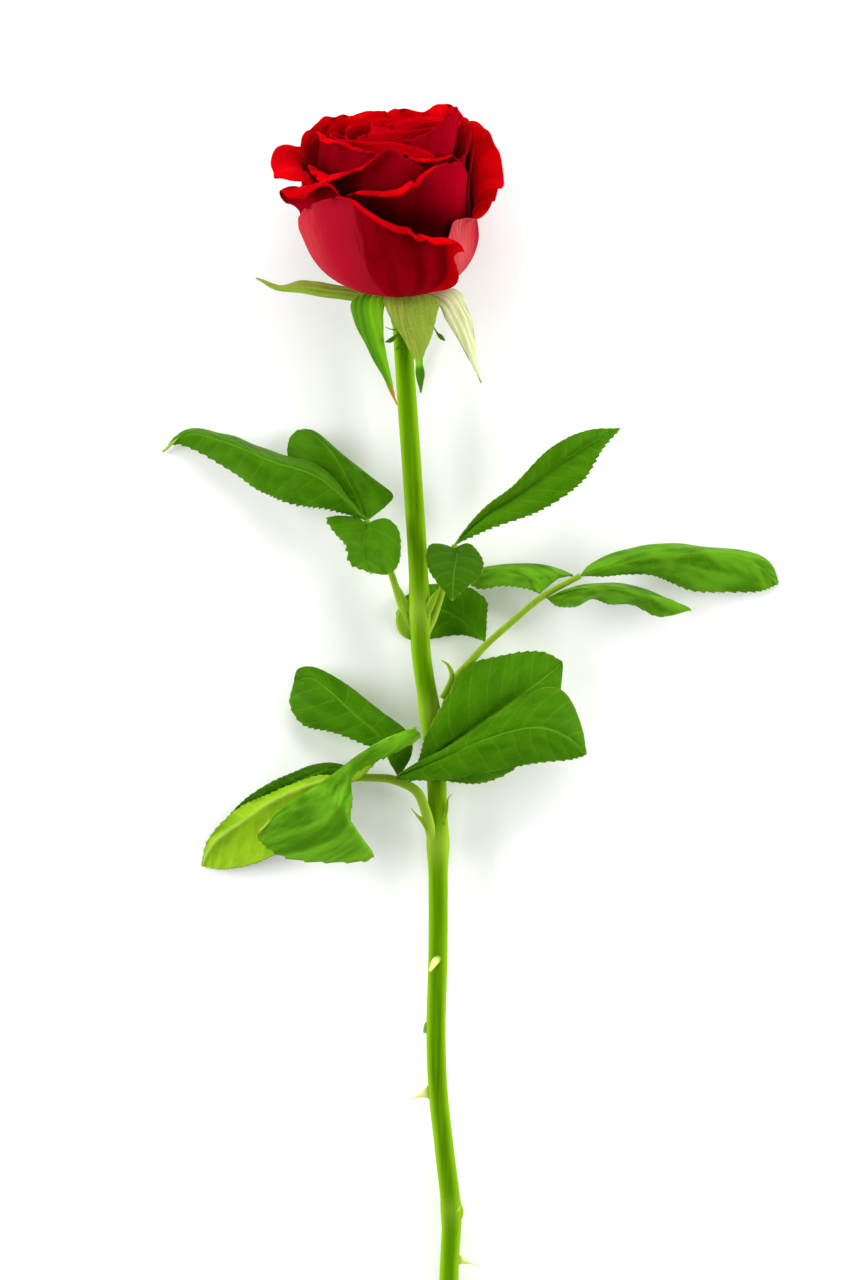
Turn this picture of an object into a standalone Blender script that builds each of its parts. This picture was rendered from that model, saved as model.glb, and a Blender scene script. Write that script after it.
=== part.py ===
"""A cut rose on a long leafy stem, lying on its back as it would be put down on a table.

The bloom points towards +Y and the cut end towards -Y; leaves spread to both sides in X.
Every petal, sepal, leaflet, leaf stalk and prickle is a solid of its own, a hair clear of the rest.
The tables are in millimetres, with Y counted from the cut end. ORIGIN moves the whole flower so
that the frame's origin lies on the table under the middle of its bounding box.
"""

import math

import bpy
import numpy as np

MM = 0.001
ORIGIN = (13.1, 197.9, 0.45)

# The stem: X, Y and height of its middle line, from the cut end up to the hip.
STEM_RADIUS = 2.75
STEM_LINE = (
    (5.6, 0.0, 3.2),
    (6.6, 47.0, 5.0),
    (7.3, 66.5, 5.9),
    (5.2, 86.0, 6.6),
    (3.3, 104.0, 7.3),
    (2.7, 122.0, 8.0),
    (3.3, 146.0, 8.8),
    (3.3, 176.0, 9.8),
    (3.0, 194.0, 10.3),
    (1.8, 209.0, 10.8),
    (0.3, 221.0, 11.2),
    (-1.8, 236.0, 11.7),
    (-2.2, 251.0, 12.1),
    (-3.0, 267.6, 12.6),
    (-4.5, 290.0, 12.9),
    (-6.0, 311.0, 13.4),
    (-6.95, 325.0, 14.8),
    (-7.48, 334.3, 17.5),
)
CUT_SLANT = 2.4
# Knots of the stem, where leaves stand or stood: distance up the stem, extra radius, half length.
STEM_KNOTS = (
    (66.5, 0.75, 3.2),
    (178.0, 0.6, 5.0),
    (218.0, 0.45, 4.5),
    (248.0, 0.6, 5.5),
)

# The bloom: where the petals are seated, how far its axis rises from the table and leans left.
BLOOM_BASE = np.array((-8.2, 343.6, 20.9))
BLOOM_RISE = 20.0
BLOOM_LEAN = 4.5
# Sideways sway of the bowl at every 10 mm of height, and shift of the heart at the height of the rims.
BOWL_SWAY = (2.0, 1.0, -0.5, -1.2, -0.8, 0.5, 1.2)
HEART_RIGHT = 8.0
HEART_BACK = 8.0
HEART_HEIGHT = 45.0

# The hip with the cone that carries the petals: height along the bloom's axis, radius.
HIP_PROFILE = (
    (-9.3, 2.9),
    (-7.2, 3.9),
    (-4.6, 4.7),
    (-2.0, 5.2),
    (0.2, 5.8),
    (6.2, 1.4),
)
STAMEN_PROFILE = (
    (6.7, 0.9),
    (9.0, 1.1),
    (12.5, 2.0),
    (14.0, 1.3),
)

PETAL_THICK = 0.35
SEPAL_THICK = 0.5
LEAF_THICK = 0.5

# Leaf stalks: middle line, radius at the stem, radius at the end.
STALKS = {
    "leaf_a_stalk": (
        ((-6.9, 245.0, 12.4), (-8.2, 251.0, 13.2), (-10.6, 258.6, 14.0), (-14.2, 267.0, 14.6),
         (-18.2, 275.0, 15.4)),
        1.15,
        0.85,
    ),
    "leaf_b_stalk": (
        ((2.6, 245.6, 12.3), (3.6, 251.0, 13.0), (5.4, 257.0, 13.8), (7.6, 263.6, 14.4),
         (8.4, 267.6, 14.6)),
        1.2,
        0.85,
    ),
    "leaf_c_stalk": (
        (
            (5.3, 215.4, 11.0),
            (8.1, 226.6, 12.2),
            (12.9, 232.4, 12.4),
            (18.0, 237.9, 12.4),
            (26.0, 245.0, 12.6),
            (34.8, 252.2, 12.8),
            (46.0, 258.4, 12.2),
        ),
        1.2,
        0.8,
    ),
    "leaf_d_stalk": (
        (
            (-1.5, 181.0, 11.2),
            (-0.9, 186.0, 12.2),
            (-1.2, 190.5, 13.1),
            (-4.0, 194.8, 13.9),
            (-9.9, 197.2, 13.9),
            (-16.0, 197.8, 13.3),
            (-22.4, 197.8, 12.7),
        ),
        1.15,
        0.85,
    ),
}

# Prickles: root and tip, then half length of the root along the stem.
PRICKLES = {
    "prickle_left": ((0.1, 102.8, 7.4), (-6.0, 100.8, 7.7), 2.1),
    "prickle_stub": ((-0.5, 121.6, 8.0), (-1.9, 121.0, 8.1), 1.4),
    "prickle_front": ((2.5, 142.6, 11.9), (0.7, 139.8, 15.6), 1.9),
    "prickle_right": ((9.9, 52.4, 5.3), (15.2, 51.0, 5.6), 1.7),
}

# Blades: middle line from base to tip, then the left and right margins between those two points.
LEAFLETS = {
    "leaf_a_tip": (
        ((-18.4, 275.3, 15.7), (-32.1, 287.4, 20.0), (-46.5, 292.6, 17.5), (-60.9, 298.6, 12.0),
         (-72.0, 300.9, 6.0), (-79.8, 295.8, 1.2)),
        ((-30.4, 278.4, 15.5), (-41.5, 280.2, 12.5), (-51.0, 284.6, 9.5), (-63.0, 292.6, 6.0),
         (-75.0, 298.2, 3.0)),
        ((-31.5, 290.4, 12.0), (-46.5, 295.6, 7.5), (-60.9, 301.0, 4.5), (-72.0, 302.4, 3.0)),
    ),
    "leaf_a_side": (
        ((-17.9, 274.8, 14.1), (-22.1, 283.9, 12.0), (-27.6, 293.9, 10.2), (-33.0, 300.0, 8.0),
         (-38.5, 302.4, 4.5)),
        ((-24.5, 277.5, 9.5), (-35.0, 284.5, 6.5), (-41.3, 292.5, 4.0), (-41.5, 299.1, 4.0)),
        ((-12.2, 279.4, 11.0), (-10.6, 283.0, 9.0), (-17.5, 288.6, 8.0), (-26.0, 295.3, 6.5),
         (-33.7, 301.5, 4.6)),
    ),
    "leaf_a_front": (
        ((-17.8, 273.6, 16.6), (-18.2, 271.7, 19.5), (-19.0, 267.5, 26.0), (-18.5, 262.7, 33.0),
         (-16.5, 258.9, 40.0)),
        ((-12.4, 275.1, 18.0), (-8.6, 272.0, 22.0), (-7.8, 266.7, 28.0), (-8.7, 261.0, 34.0),
         (-12.0, 258.6, 38.0)),
        ((-22.2, 276.0, 14.2), (-29.6, 275.4, 14.6), (-27.6, 271.2, 20.0), (-24.3, 267.5, 28.0),
         (-22.6, 261.6, 35.0)),
    ),
    "leaf_b_tip": (
        ((8.1, 267.5, 14.6), (17.0, 276.0, 14.0), (28.0, 283.4, 13.5), (39.5, 291.8, 12.5),
         (50.0, 298.5, 11.0), (58.2, 302.8, 9.0)),
        ((15.6, 277.2, 18.0), (26.0, 285.6, 22.0), (36.7, 296.3, 22.0), (47.0, 301.6, 17.0)),
        ((19.0, 272.4, 18.5), (34.0, 277.8, 21.0), (46.3, 286.3, 20.0), (52.4, 296.0, 15.0)),
    ),
    "leaf_b_front": (
        ((8.3, 266.4, 15.7), (9.0, 264.6, 21.0), (8.3, 260.7, 28.0), (7.8, 255.9, 35.0),
         (7.5, 250.7, 39.0)),
        ((12.2, 268.0, 18.0), (15.0, 265.4, 22.0), (16.8, 261.6, 27.0), (15.2, 257.4, 32.0),
         (11.2, 254.3, 36.0)),
        ((1.6, 267.8, 19.0), (-0.2, 264.8, 24.0), (0.4, 260.2, 30.0), (3.9, 254.9, 36.0)),
    ),
    "leaf_c_tip": (
        ((45.7, 258.2, 12.2), (57.9, 262.0, 14.0), (72.0, 264.6, 14.0), (86.0, 265.0, 11.5),
         (98.0, 262.5, 7.0), (106.2, 256.3, 1.2)),
        ((51.6, 263.3, 9.5), (65.0, 267.4, 8.0), (80.0, 267.5, 6.0), (95.0, 265.6, 3.6)),
        ((54.9, 258.5, 10.5), (68.0, 258.6, 8.5), (80.0, 254.0, 6.5), (96.0, 253.6, 3.0)),
    ),
    "leaf_c_right": (
        ((35.8, 251.6, 13.4), (45.5, 254.6, 16.0), (55.0, 254.6, 15.5), (65.0, 252.4, 13.0),
         (73.0, 250.2, 10.0), (79.5, 248.1, 7.5)),
        ((42.0, 254.4, 14.8), (52.0, 256.2, 8.5), (62.0, 255.2, 6.6), (72.0, 251.8, 5.5)),
        ((39.4, 249.4, 11.6), (44.5, 249.0, 10.0), (49.5, 251.6, 9.5), (55.0, 250.0, 8.5),
         (62.0, 249.6, 7.5), (70.0, 246.2, 7.0)),
    ),
    "leaf_c_left": (
        ((33.8, 253.0, 12.4), (29.1, 257.9, 10.5), (22.4, 259.6, 8.5), (16.0, 259.0, 6.5),
         (11.0, 257.5, 4.5)),
        ((29.5, 254.6, 10.5), (23.0, 255.4, 8.0), (16.0, 254.6, 5.5)),
        ((39.5, 257.6, 8.5), (44.0, 258.6, 7.0), (36.0, 261.3, 5.0), (26.0, 261.8, 4.0),
         (17.0, 260.7, 3.6)),
    ),
    "leaf_c_back": (
        ((17.5, 238.5, 12.1), (10.4, 244.9, 6.5), (4.7, 248.0, 5.0), (-2.0, 248.6, 4.0),
         (-9.4, 246.6, 3.2)),
        ((12.8, 240.4, 7.0), (7.0, 240.4, 5.0), (0.0, 239.5, 3.6), (-6.0, 241.3, 3.0)),
        ((18.0, 246.0, 7.5), (17.6, 251.2, 6.0), (11.0, 255.4, 4.5), (1.0, 255.8, 3.4),
         (-6.6, 252.2, 3.0)),
    ),
    "leaf_d_tip": (
        ((-22.4, 197.8, 12.7), (-32.0, 196.6, 10.8), (-45.0, 191.4, 7.8), (-56.0, 184.2, 4.8),
         (-64.0, 178.0, 2.6), (-67.9, 171.0, 1.2)),
        ((-33.0, 198.3, 9.2), (-46.0, 193.4, 5.8), (-57.0, 188.3, 3.2), (-65.7, 179.4, 2.0)),
        ((-29.0, 190.5, 10.0), (-37.0, 180.5, 7.5), (-49.0, 172.9, 4.8), (-61.0, 170.0, 2.6)),
    ),
    "leaf_d_back": (
        ((-19.6, 199.2, 12.6), (-28.0, 200.9, 8.6), (-38.5, 196.7, 4.6), (-49.0, 191.9, 2.6),
         (-59.4, 186.8, 1.2)),
        ((-30.0, 195.5, 5.0), (-40.0, 191.5, 2.6), (-51.0, 187.6, 1.2)),
        ((-30.5, 202.2, 5.0), (-40.0, 199.2, 3.0), (-51.0, 193.9, 1.4)),
    ),
    "leaf_d_saddle": (
        (
            (-3.6, 213.0, 21.0),
            (-12.4, 209.6, 24.0),
            (-21.4, 204.3, 26.0),
            (-29.0, 198.6, 27.0),
            (-36.5, 193.6, 26.0),
            (-43.5, 188.8, 23.0),
            (-50.4, 181.4, 18.0),
        ),
        (
            (-2.4, 209.6, 19.0),
            (-13.9, 203.5, 20.5),
            (-22.4, 198.2, 22.0),
            (-24.3, 191.0, 20.0),
            (-23.6, 184.0, 17.5),
            (-16.8, 174.1, 14.0),
            (-31.0, 172.7, 13.0),
            (-44.0, 174.6, 13.5),
            (-50.0, 179.0, 16.5),
        ),
        (
            (-4.0, 212.0, 18.0),
            (-12.0, 206.0, 16.4),
            (-20.0, 198.0, 13.5),
            (-28.0, 195.0, 15.2),
            (-36.0, 190.4, 17.0),
            (-43.5, 185.4, 17.0),
        ),
    ),
    "leaf_d_left": (
        ((-8.5, 197.9, 13.9), (-13.9, 209.8, 14.0), (-21.4, 216.5, 12.4), (-28.3, 223.0, 10.0),
         (-34.5, 227.6, 7.4), (-40.0, 226.8, 3.6)),
        ((-12.5, 204.8, 12.6), (-21.0, 208.8, 10.5), (-29.0, 211.6, 8.0), (-37.0, 213.6, 5.4),
         (-41.2, 220.0, 3.8)),
        ((-4.8, 204.5, 13.4), (-5.6, 211.2, 11.6), (-13.9, 217.8, 9.6), (-24.0, 225.4, 7.6),
         (-33.0, 230.6, 5.4), (-38.4, 230.4, 4.0)),
    ),
    "leaf_d_right": (
        (
            (-5.6, 196.6, 14.9),
            (4.0, 205.9, 17.6),
            (12.8, 212.0, 17.4),
            (20.4, 217.1, 16.0),
            (28.0, 222.3, 13.6),
            (36.0, 228.4, 10.6),
            (40.8, 232.4, 8.4),
        ),
        ((-2.4, 203.6, 17.4), (0.0, 211.4, 18.2), (6.0, 222.2, 18.0), (11.5, 231.2, 15.6),
         (23.5, 234.6, 12.0), (34.0, 235.6, 9.6)),
        ((0.5, 197.8, 16.4), (8.0, 196.6, 15.4), (16.5, 196.4, 14.2), (25.5, 200.0, 12.8),
         (33.0, 208.5, 11.4), (39.0, 220.0, 9.8)),
    ),
    "leaf_d_front": (
        ((-10.2, 197.6, 15.2), (4.0, 203.6, 21.6), (17.9, 209.6, 24.0), (32.2, 213.0, 23.0),
         (42.0, 210.0, 19.0), (47.8, 204.7, 15.0)),
        ((-3.0, 202.6, 20.2), (8.0, 208.2, 22.4), (20.0, 216.6, 22.0), (32.0, 223.9, 19.6),
         (40.6, 223.8, 17.0), (46.2, 213.2, 15.0)),
        ((-4.0, 197.2, 18.6), (8.0, 197.9, 20.6), (20.0, 200.1, 20.6), (31.0, 202.3, 18.6),
         (42.0, 203.2, 16.0)),
    ),
}
LEAF_BULGE = 0.5

SEPALS = {
    "sepal_left": (
        ((-13.4, 341.6, 20.8), (-19.0, 342.2, 20.2), (-28.0, 343.2, 18.6), (-38.5, 345.2, 16.1),
         (-46.0, 346.6, 14.1), (-51.3, 347.7, 12.6)),
        ((-17.0, 340.2, 21.6), (-26.0, 340.8, 20.1), (-38.0, 343.8, 17.6), (-46.0, 345.7, 15.1)),
        ((-17.0, 343.6, 18.6), (-28.0, 345.4, 16.6), (-39.0, 347.2, 14.1), (-46.5, 347.6, 12.6)),
    ),
    "sepal_front_left": (
        ((-11.7, 340.4, 23.9), (-16.0, 338.6, 27.0), (-17.0, 334.0, 27.6), (-15.2, 327.0, 26.2),
         (-12.4, 318.5, 23.6), (-8.7, 309.9, 19.6)),
        ((-13.0, 338.4, 26.8), (-13.0, 333.0, 27.0), (-12.7, 327.0, 25.6), (-10.8, 318.0, 23.2)),
        ((-19.6, 341.0, 24.6), (-21.0, 336.0, 25.2), (-17.8, 327.0, 24.6), (-14.4, 318.5, 22.6)),
    ),
    "sepal_front": (
        (
            (-7.8, 339.6, 25.2),
            (-6.0, 336.6, 28.8),
            (-4.8, 332.0, 29.0),
            (-3.2, 326.0, 27.6),
            (-2.4, 321.9, 26.6),
            (-2.0, 318.0, 26.0),
            (-1.8, 313.8, 25.2),
        ),
        ((0.4, 340.6, 24.6), (2.4, 336.6, 26.6), (1.2, 330.0, 26.8), (-1.2, 323.4, 26.6),
         (-0.9, 318.5, 26.0)),
        ((-11.6, 340.6, 26.2), (-11.8, 337.0, 28.0), (-7.6, 329.0, 27.4), (-3.7, 323.0, 26.6),
         (-3.2, 318.5, 26.0)),
    ),
    "sepal_right": (
        ((-3.5, 341.6, 21.0), (4.6, 341.0, 23.8), (8.3, 336.5, 23.2), (11.2, 330.0, 21.6),
         (14.0, 323.0, 19.2), (16.5, 316.8, 16.6)),
        ((7.0, 343.4, 22.2), (12.0, 338.6, 21.2), (13.8, 329.5, 20.0), (15.2, 323.0, 18.6)),
        ((2.6, 338.6, 24.2), (4.8, 336.0, 24.4), (8.4, 330.0, 22.6), (12.2, 323.6, 19.6)),
    ),
    "sepal_back": (
        ((-8.2, 341.8, 15.0), (-7.8, 337.0, 11.0), (-6.6, 330.0, 7.2), (-6.0, 321.0, 4.2),
         (-5.6, 312.0, 2.2)),
        ((-11.2, 338.0, 10.2), (-9.4, 330.0, 6.6), (-7.8, 321.0, 3.8)),
        ((-4.6, 338.0, 10.2), (-3.8, 330.0, 6.6), (-4.2, 321.0, 3.8)),
    ),
}
SEPAL_BULGE = 0.3

# Petals placed by hand. Each has its layer (0 at the heart, 1 outside) and the change of it towards the
# right edge, the outward curl of its right edge in degrees, how the roll of the rim grows (over 1: like a
# scroll, under 1: a fold with a flat flap), and rows along its rim: azimuth (0 right, 90 under, 180 left,
# -90 up from the table), length up to the crest, roll of the rim in degrees, length of the roll.
PETALS = {
    "petal_01": (1.0, 0.02, 150, 1.2, (
        (-168, 38, 10, 3), (-153, 41.5, 15, 3), (-140, 44.5, 20, 3), (-128, 47.5, 40, 4),
        (-115, 49, 90, 5), (-102, 45.5, 135, 6), (-90, 42, 150, 6.5), (-78, 39, 150, 6.5),
        (-67, 36, 150, 6.5), (-57, 35.5, 140, 6), (-48, 35, 110, 4))),
    "petal_02": (0.98, 0.0, 0, 0.8, (
        (-58, 27, 10, 3), (-46, 33.5, 10, 3), (-34, 36.5, 30, 5), (-22, 37.5, 70, 9),
        (-10, 39, 100, 12), (2, 42, 110, 12), (14, 47, 110, 12), (26, 51, 100, 10), (38, 54, 80, 8),
        (50, 55, 50, 6))),
    "petal_03": (0.94, 0.0, 0, 1.2, (
        (24, 54, 40, 5), (36, 57, 50, 5), (47, 58.7, 50, 5), (58, 60, 50, 5), (69, 57, 60, 5),
        (80, 58, 60, 5), (92, 58.5, 60, 5), (104, 57.5, 60, 5), (114, 56, 60, 5), (123, 55, 50, 5))),
    "petal_04": (0.925, 0.0, 0, 1.0, (
        (-200, 38, 20, 3), (-188, 38.5, 40, 4), (-177, 40, 80, 6), (-166, 45, 130, 8),
        (-156, 48.5, 150, 9), (-146, 50.5, 140, 8), (-136, 50.5, 70, 5), (-126, 49, 30, 3),
        (-116, 46, 10, 3))),
    "petal_05": (0.90, 0.0, 0, 1.2, (
        (-16, 42, 10, 3), (-6, 46, 15, 3), (4, 50, 20, 4), (14, 54, 20, 4), (24, 56, 15, 4),
        (36, 56.5, 10, 3), (48, 56, 5, 3), (60, 55, 0, 3))),
    "petal_06": (0.895, 0.0, 0, 1.2, (
        (86, 55, 0, 3), (98, 56, 5, 3), (110, 55.5, 10, 3), (122, 57, 20, 4), (134, 57, 60, 5),
        (146, 56, 50, 5), (157, 54.5, 40, 4), (166, 52, 20, 3))),
    "petal_07": (0.86, 0.0, 0, 0.55, (
        (-228, 53, 0, 3), (-214, 53.5, 10, 3), (-202, 54.5, 40, 5), (-192, 55, 95, 9), (-182, 54, 105, 11),
        (-172, 52.7, 112, 12), (-162, 51.5, 120, 11), (-153, 51, 105, 8), (-142, 49, 30, 3))),
    "petal_08": (0.87, 0.0, 0, 1.2, (
        (-130, 44, 10, 3), (-118, 46.3, 60, 4), (-106, 47.3, 130, 6), (-94, 47.8, 145, 7),
        (-82, 48.8, 145, 7), (-70, 51, 120, 6), (-58, 52.2, 60, 4), (-46, 51, 20, 3), (-32, 49, 15, 3),
        (-18, 46, 10, 3), (-4, 42, 0, 3))),
    "petal_09": (0.82, 0.0, 0, 1.2, (
        (-40, 49, 10, 3), (-28, 49.8, 15, 3), (-16, 49.5, 20, 4), (-4, 50.5, 20, 4), (8, 53, 25, 4),
        (20, 55, 30, 4), (32, 55, 30, 4), (46, 54.5, 20, 4), (60, 54, 10, 4))),
    "petal_10": (0.785, 0.0, 0, 1.2, (
        (56, 53.5, 5, 4), (68, 54, 20, 5), (82, 54.8, 40, 5), (98, 55, 40, 5), (114, 54.5, 40, 5),
        (130, 55, 40, 5), (146, 55, 20, 4))),
    "petal_11": (0.78, 0.0, 0, 1.2, (
        (-170, 49, 50, 4), (-156, 49.5, 105, 6), (-142, 49.8, 135, 7), (-129, 50.4, 150, 7.5),
        (-117, 51.6, 135, 6.5), (-106, 53.5, 100, 5), (-95, 56, 50, 3), (-84, 53.2, 15, 3),
        (-72, 51.5, 10, 3), (-60, 49, 5, 3))),
    "petal_12": (0.725, 0.0, 0, 1.2, (
        (-208, 53, 20, 4), (-194, 54, 40, 4), (-180, 55, 60, 4.5), (-163, 56.5, 90, 4.5),
        (-146, 56.8, 115, 5), (-130, 56.1, 120, 5), (-116, 54.8, 110, 5), (-104, 53, 80, 4),
        (-94, 51.2, 20, 3))),
    "petal_13": (0.697, 0.0, 0, 1.2, (
        (-99, 51, 0, 3), (-89, 52, 50, 3), (-77, 51.3, 125, 5), (-64, 50.2, 135, 5),
        (-50, 48.7, 130, 5), (-35, 47, 90, 4), (-18, 45.5, 30, 3), (0, 44, 0, 3))),
    "petal_14": (0.618, 0.015, 0, 1.2, (
        (-126, 51, 15, 3), (-111, 52.4, 30, 3), (-97, 53, 20, 3), (-83, 53.5, 15, 3),
        (-69, 54.3, 10, 3), (-55, 56.2, 5, 3), (-42, 59.2, 5, 3), (-31, 60.5, 10, 3), (-20, 55, 5, 3))),
}
# The petals of the heart follow a spiral: count, first azimuth, step, first layer and step of the layer.
HEART_COUNT = 10
HEART_START = -142.0
HEART_TURN = 137.5
HEART_LAYER = 0.653
HEART_STEP = 0.067
HEART_RIM = (48.0, 51.0, 52.0, 51.0, 48.0)
HEART_ROLL = (0.0, 8.0, 30.0, 8.0, 0.0)


def unit(vector):
    return vector / np.maximum(np.linalg.norm(vector, axis=-1, keepdims=True), 1e-9)


def curve_at(points, t):
    """Points of the Catmull-Rom curve through points, which stand at equal steps of t from 0 to 1."""
    knots = np.asarray(points, float)
    ends = np.vstack((2 * knots[0] - knots[1], knots, 2 * knots[-1] - knots[-2]))
    x = np.clip(np.asarray(t, float), 0, 1) * (len(knots) - 1)
    i = np.minimum(x.astype(int), len(knots) - 2)
    f = (x - i)[..., None]
    a, b, c, d = (ends[i + k] for k in range(4))
    return b + 0.5 * f * (c - a + f * (2 * a - 5 * b + 4 * c - d + f * (3 * (b - c) + d - a)))


def value_at(values, t):
    return curve_at([(value,) for value in values], t)[..., 0]


def smooth(low, high, x):
    """0 below low, 1 above high, and an S between them."""
    t = np.clip((x - low) / (high - low), 0, 1)
    return t * t * (3 - 2 * t)


def grid(across, along, first=0.0, last=1.0):
    """u from -1 to 1 along the rows and v from first to last along the columns."""
    return np.meshgrid(np.linspace(-1, 1, across), np.linspace(first, last, along))


def petal_grid(across, along):
    """The same for a petal, with the rows closer together at its foot and its rim."""
    t = np.linspace(0, 1, along)
    return np.meshgrid(np.linspace(-1, 1, across), t - 0.07 * np.sin(2 * math.pi * t))


def blade(shape, bulge, u, v):
    """A leaf blade: each half runs straight from the middle line to its margin, plus a small arch."""
    middle, left, right = shape
    base, tip = middle[0], middle[-1]
    line = curve_at(middle, v)
    left = curve_at((base,) + left + (tip,), v)
    right = curve_at((base,) + right + (tip,), v)
    out = np.abs(u)[..., None]
    side = np.where((u < 0)[..., None], left, right) - line
    ahead = curve_at(middle, v + 0.02) - curve_at(middle, v - 0.02)
    normal = unit(np.cross(right - left, ahead))
    width = np.linalg.norm(side, axis=-1, keepdims=True)
    return line + side * out + normal * bulge * 0.5 * width * out * (1 - out)


def bloom_axes():
    """Right, back and up of the bloom; back points to the table."""
    rise, lean = math.radians(BLOOM_RISE), math.radians(BLOOM_LEAN)
    up = np.array((-math.sin(lean) * math.cos(rise), math.cos(lean) * math.cos(rise), math.sin(rise)))
    right = unit(np.cross(up, (0.0, 0.0, 1.0)))
    return right, np.cross(up, right), up


def wall_angle(layer, s):
    """Angle between a petal and the bloom's axis at the length s: a bowl, then a wall that leans."""
    lean = 8 * layer**2 - 8 * (1 - layer) ** 2
    bend = 13 + 14 * layer
    start = 52 + 37 * layer
    curve = (start - lean) * np.maximum(1 - s / bend, 0) ** 0.85
    return lean + curve - 4 * layer * np.clip((s - bend) / 25, 0, 1.2)


def petal(spec, u, v):
    """A petal: its angle to the axis is summed along its length, and the height and radius follow.

    The rim rolls out over its last millimetres; the side edges curl out by turning each row's heading.
    """
    layer, change, curl, growth, rows = spec
    across = u[0]
    azimuth, length, roll, roll_length = curve_at(rows, (across + 1) / 2).T
    roll_length = np.maximum(roll_length, 1.0)
    turn = np.radians(azimuth)
    over = (0.4 + 0.25 * (growth < 1)) * smooth(30, 100, roll)
    length = length + over * roll_length - 5.0 * np.abs(across) ** 8
    layer = layer + change * across
    steps = 161
    s = np.linspace(0, 1, steps)[:, None] * length
    rolled = np.clip((s - length + roll_length) / roll_length, 0, 1) ** growth
    angle = np.radians(wall_angle(layer, s) + roll * rolled)
    step = length / (steps - 1)
    radius = np.cumsum(np.sin(angle), axis=0) * step + 1.9 + 4.4 * layer
    height = np.cumsum(np.cos(angle), axis=0) * step + 5.4 * (1 - layer) + 0.8
    at = np.minimum((v[:, 0] * (steps - 1)).astype(int), steps - 2)
    part = (v[:, 0] * (steps - 1) - at)[:, None]
    radius = radius[at] * (1 - part) + radius[at + 1] * part
    height = height[at] * (1 - part) + height[at + 1] * part
    spread = 0.42 + 0.58 * np.sin(np.minimum(v[:, :1] / 0.55, 1) * math.pi / 2)
    middle = (turn[0] + turn[-1]) / 2
    theta = middle + (turn - middle) * spread
    radius = radius * (1 - 0.05 * np.cos(theta))
    shift = (1 - layer) * (height / HEART_HEIGHT) ** 2
    sway = value_at(BOWL_SWAY, height / 60) * smooth(5, 12, radius)
    x = radius * np.cos(theta) + HEART_RIGHT * shift + sway
    y = radius * np.sin(theta) + HEART_BACK * shift
    # Curl of the side edge: each row's steps are turned outwards near its end.
    bend = -np.radians(curl) * np.clip((across - 0.8) / 0.2, 0, 1) * smooth(0.2, 0.5, v[:, :1])
    dx, dy = np.diff(x, axis=1), np.diff(y, axis=1)
    half = (bend[:, 1:] + bend[:, :-1]) / 2
    tx = dx * np.cos(half) - dy * np.sin(half)
    ty = dx * np.sin(half) + dy * np.cos(half)
    centre = x.shape[1] // 2
    zero = np.zeros((len(x), 1))
    sum_x, sum_y = (np.concatenate((zero, np.cumsum(t, axis=1)), axis=1) for t in (tx, ty))
    x = x[:, centre : centre + 1] + sum_x - sum_x[:, centre : centre + 1]
    y = y[:, centre : centre + 1] + sum_y - sum_y[:, centre : centre + 1]
    right, back, up = bloom_axes()
    return BLOOM_BASE + x[..., None] * right + y[..., None] * back + height[..., None] * up


def heart_petals():
    """The petals of the heart, from the outside in: as in PETALS."""
    for i in range(HEART_COUNT):
        middle = HEART_START + HEART_TURN * i
        half = (150 + 6 * i) / 2
        rows = []
        for k, (rim, roll) in enumerate(zip(HEART_RIM, HEART_ROLL)):
            rows.append((middle + half * (k - 2) / 2, rim - 0.8 * i, roll, 4.0 - 0.2 * i))
        yield HEART_LAYER - HEART_STEP * i, 0.015, 0, 1.2, rows


def slab(points, thick):
    """The closed solid of a sheet: the sheet moved half its thickness to each side, joined by an edge."""
    normal = unit(np.cross(np.gradient(points, axis=1), np.gradient(points, axis=0)))
    rows, columns = points.shape[:2]
    sides = np.concatenate((points + normal * thick / 2, points - normal * thick / 2))
    k = np.arange(rows * columns).reshape(rows, columns)
    under = rows * columns
    top = np.stack((k[:-1, :-1], k[:-1, 1:], k[1:, 1:], k[1:, :-1]), -1).reshape(-1, 4)
    loop = np.concatenate((k[0, :-1], k[:-1, -1], k[-1, :0:-1], k[:0:-1, 0]))
    after = np.roll(loop, -1)
    edge = np.stack((after, loop, loop + under, after + under), -1)
    return sides.reshape(-1, 3), np.concatenate((top, top[:, ::-1] + under, edge)).tolist()


def rings(path, wide, tall, sides, slant=0.0):
    """A tube along path with half axes wide (sideways) and tall; slant leans its first end."""
    path = np.asarray(path, float)
    ahead = unit(np.gradient(path, axis=0))
    right = unit(np.cross(ahead, (0.0, 0.0, 1.0)))
    top = np.cross(right, ahead)
    turn = np.arange(sides) / sides * 2 * math.pi
    wide = np.broadcast_to(wide, len(path))[:, None, None]
    tall = np.broadcast_to(tall, len(path))[:, None, None]
    sideways = np.cos(turn)[:, None] * right[:, None]
    upwards = np.sin(turn)[:, None] * top[:, None]
    ring = path[:, None] + wide * sideways + tall * upwards
    ring[0] += (slant * np.cos(turn))[:, None] * ahead[0]
    k = np.arange(len(path) * sides).reshape(len(path), sides)
    after = np.roll(k, -1, axis=1)
    quads = np.stack((k[:-1], k[1:], after[1:], after[:-1]), -1).reshape(-1, 4).tolist()
    return ring.reshape(-1, 3), quads + [k[0].tolist(), k[-1, ::-1].tolist()]


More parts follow.
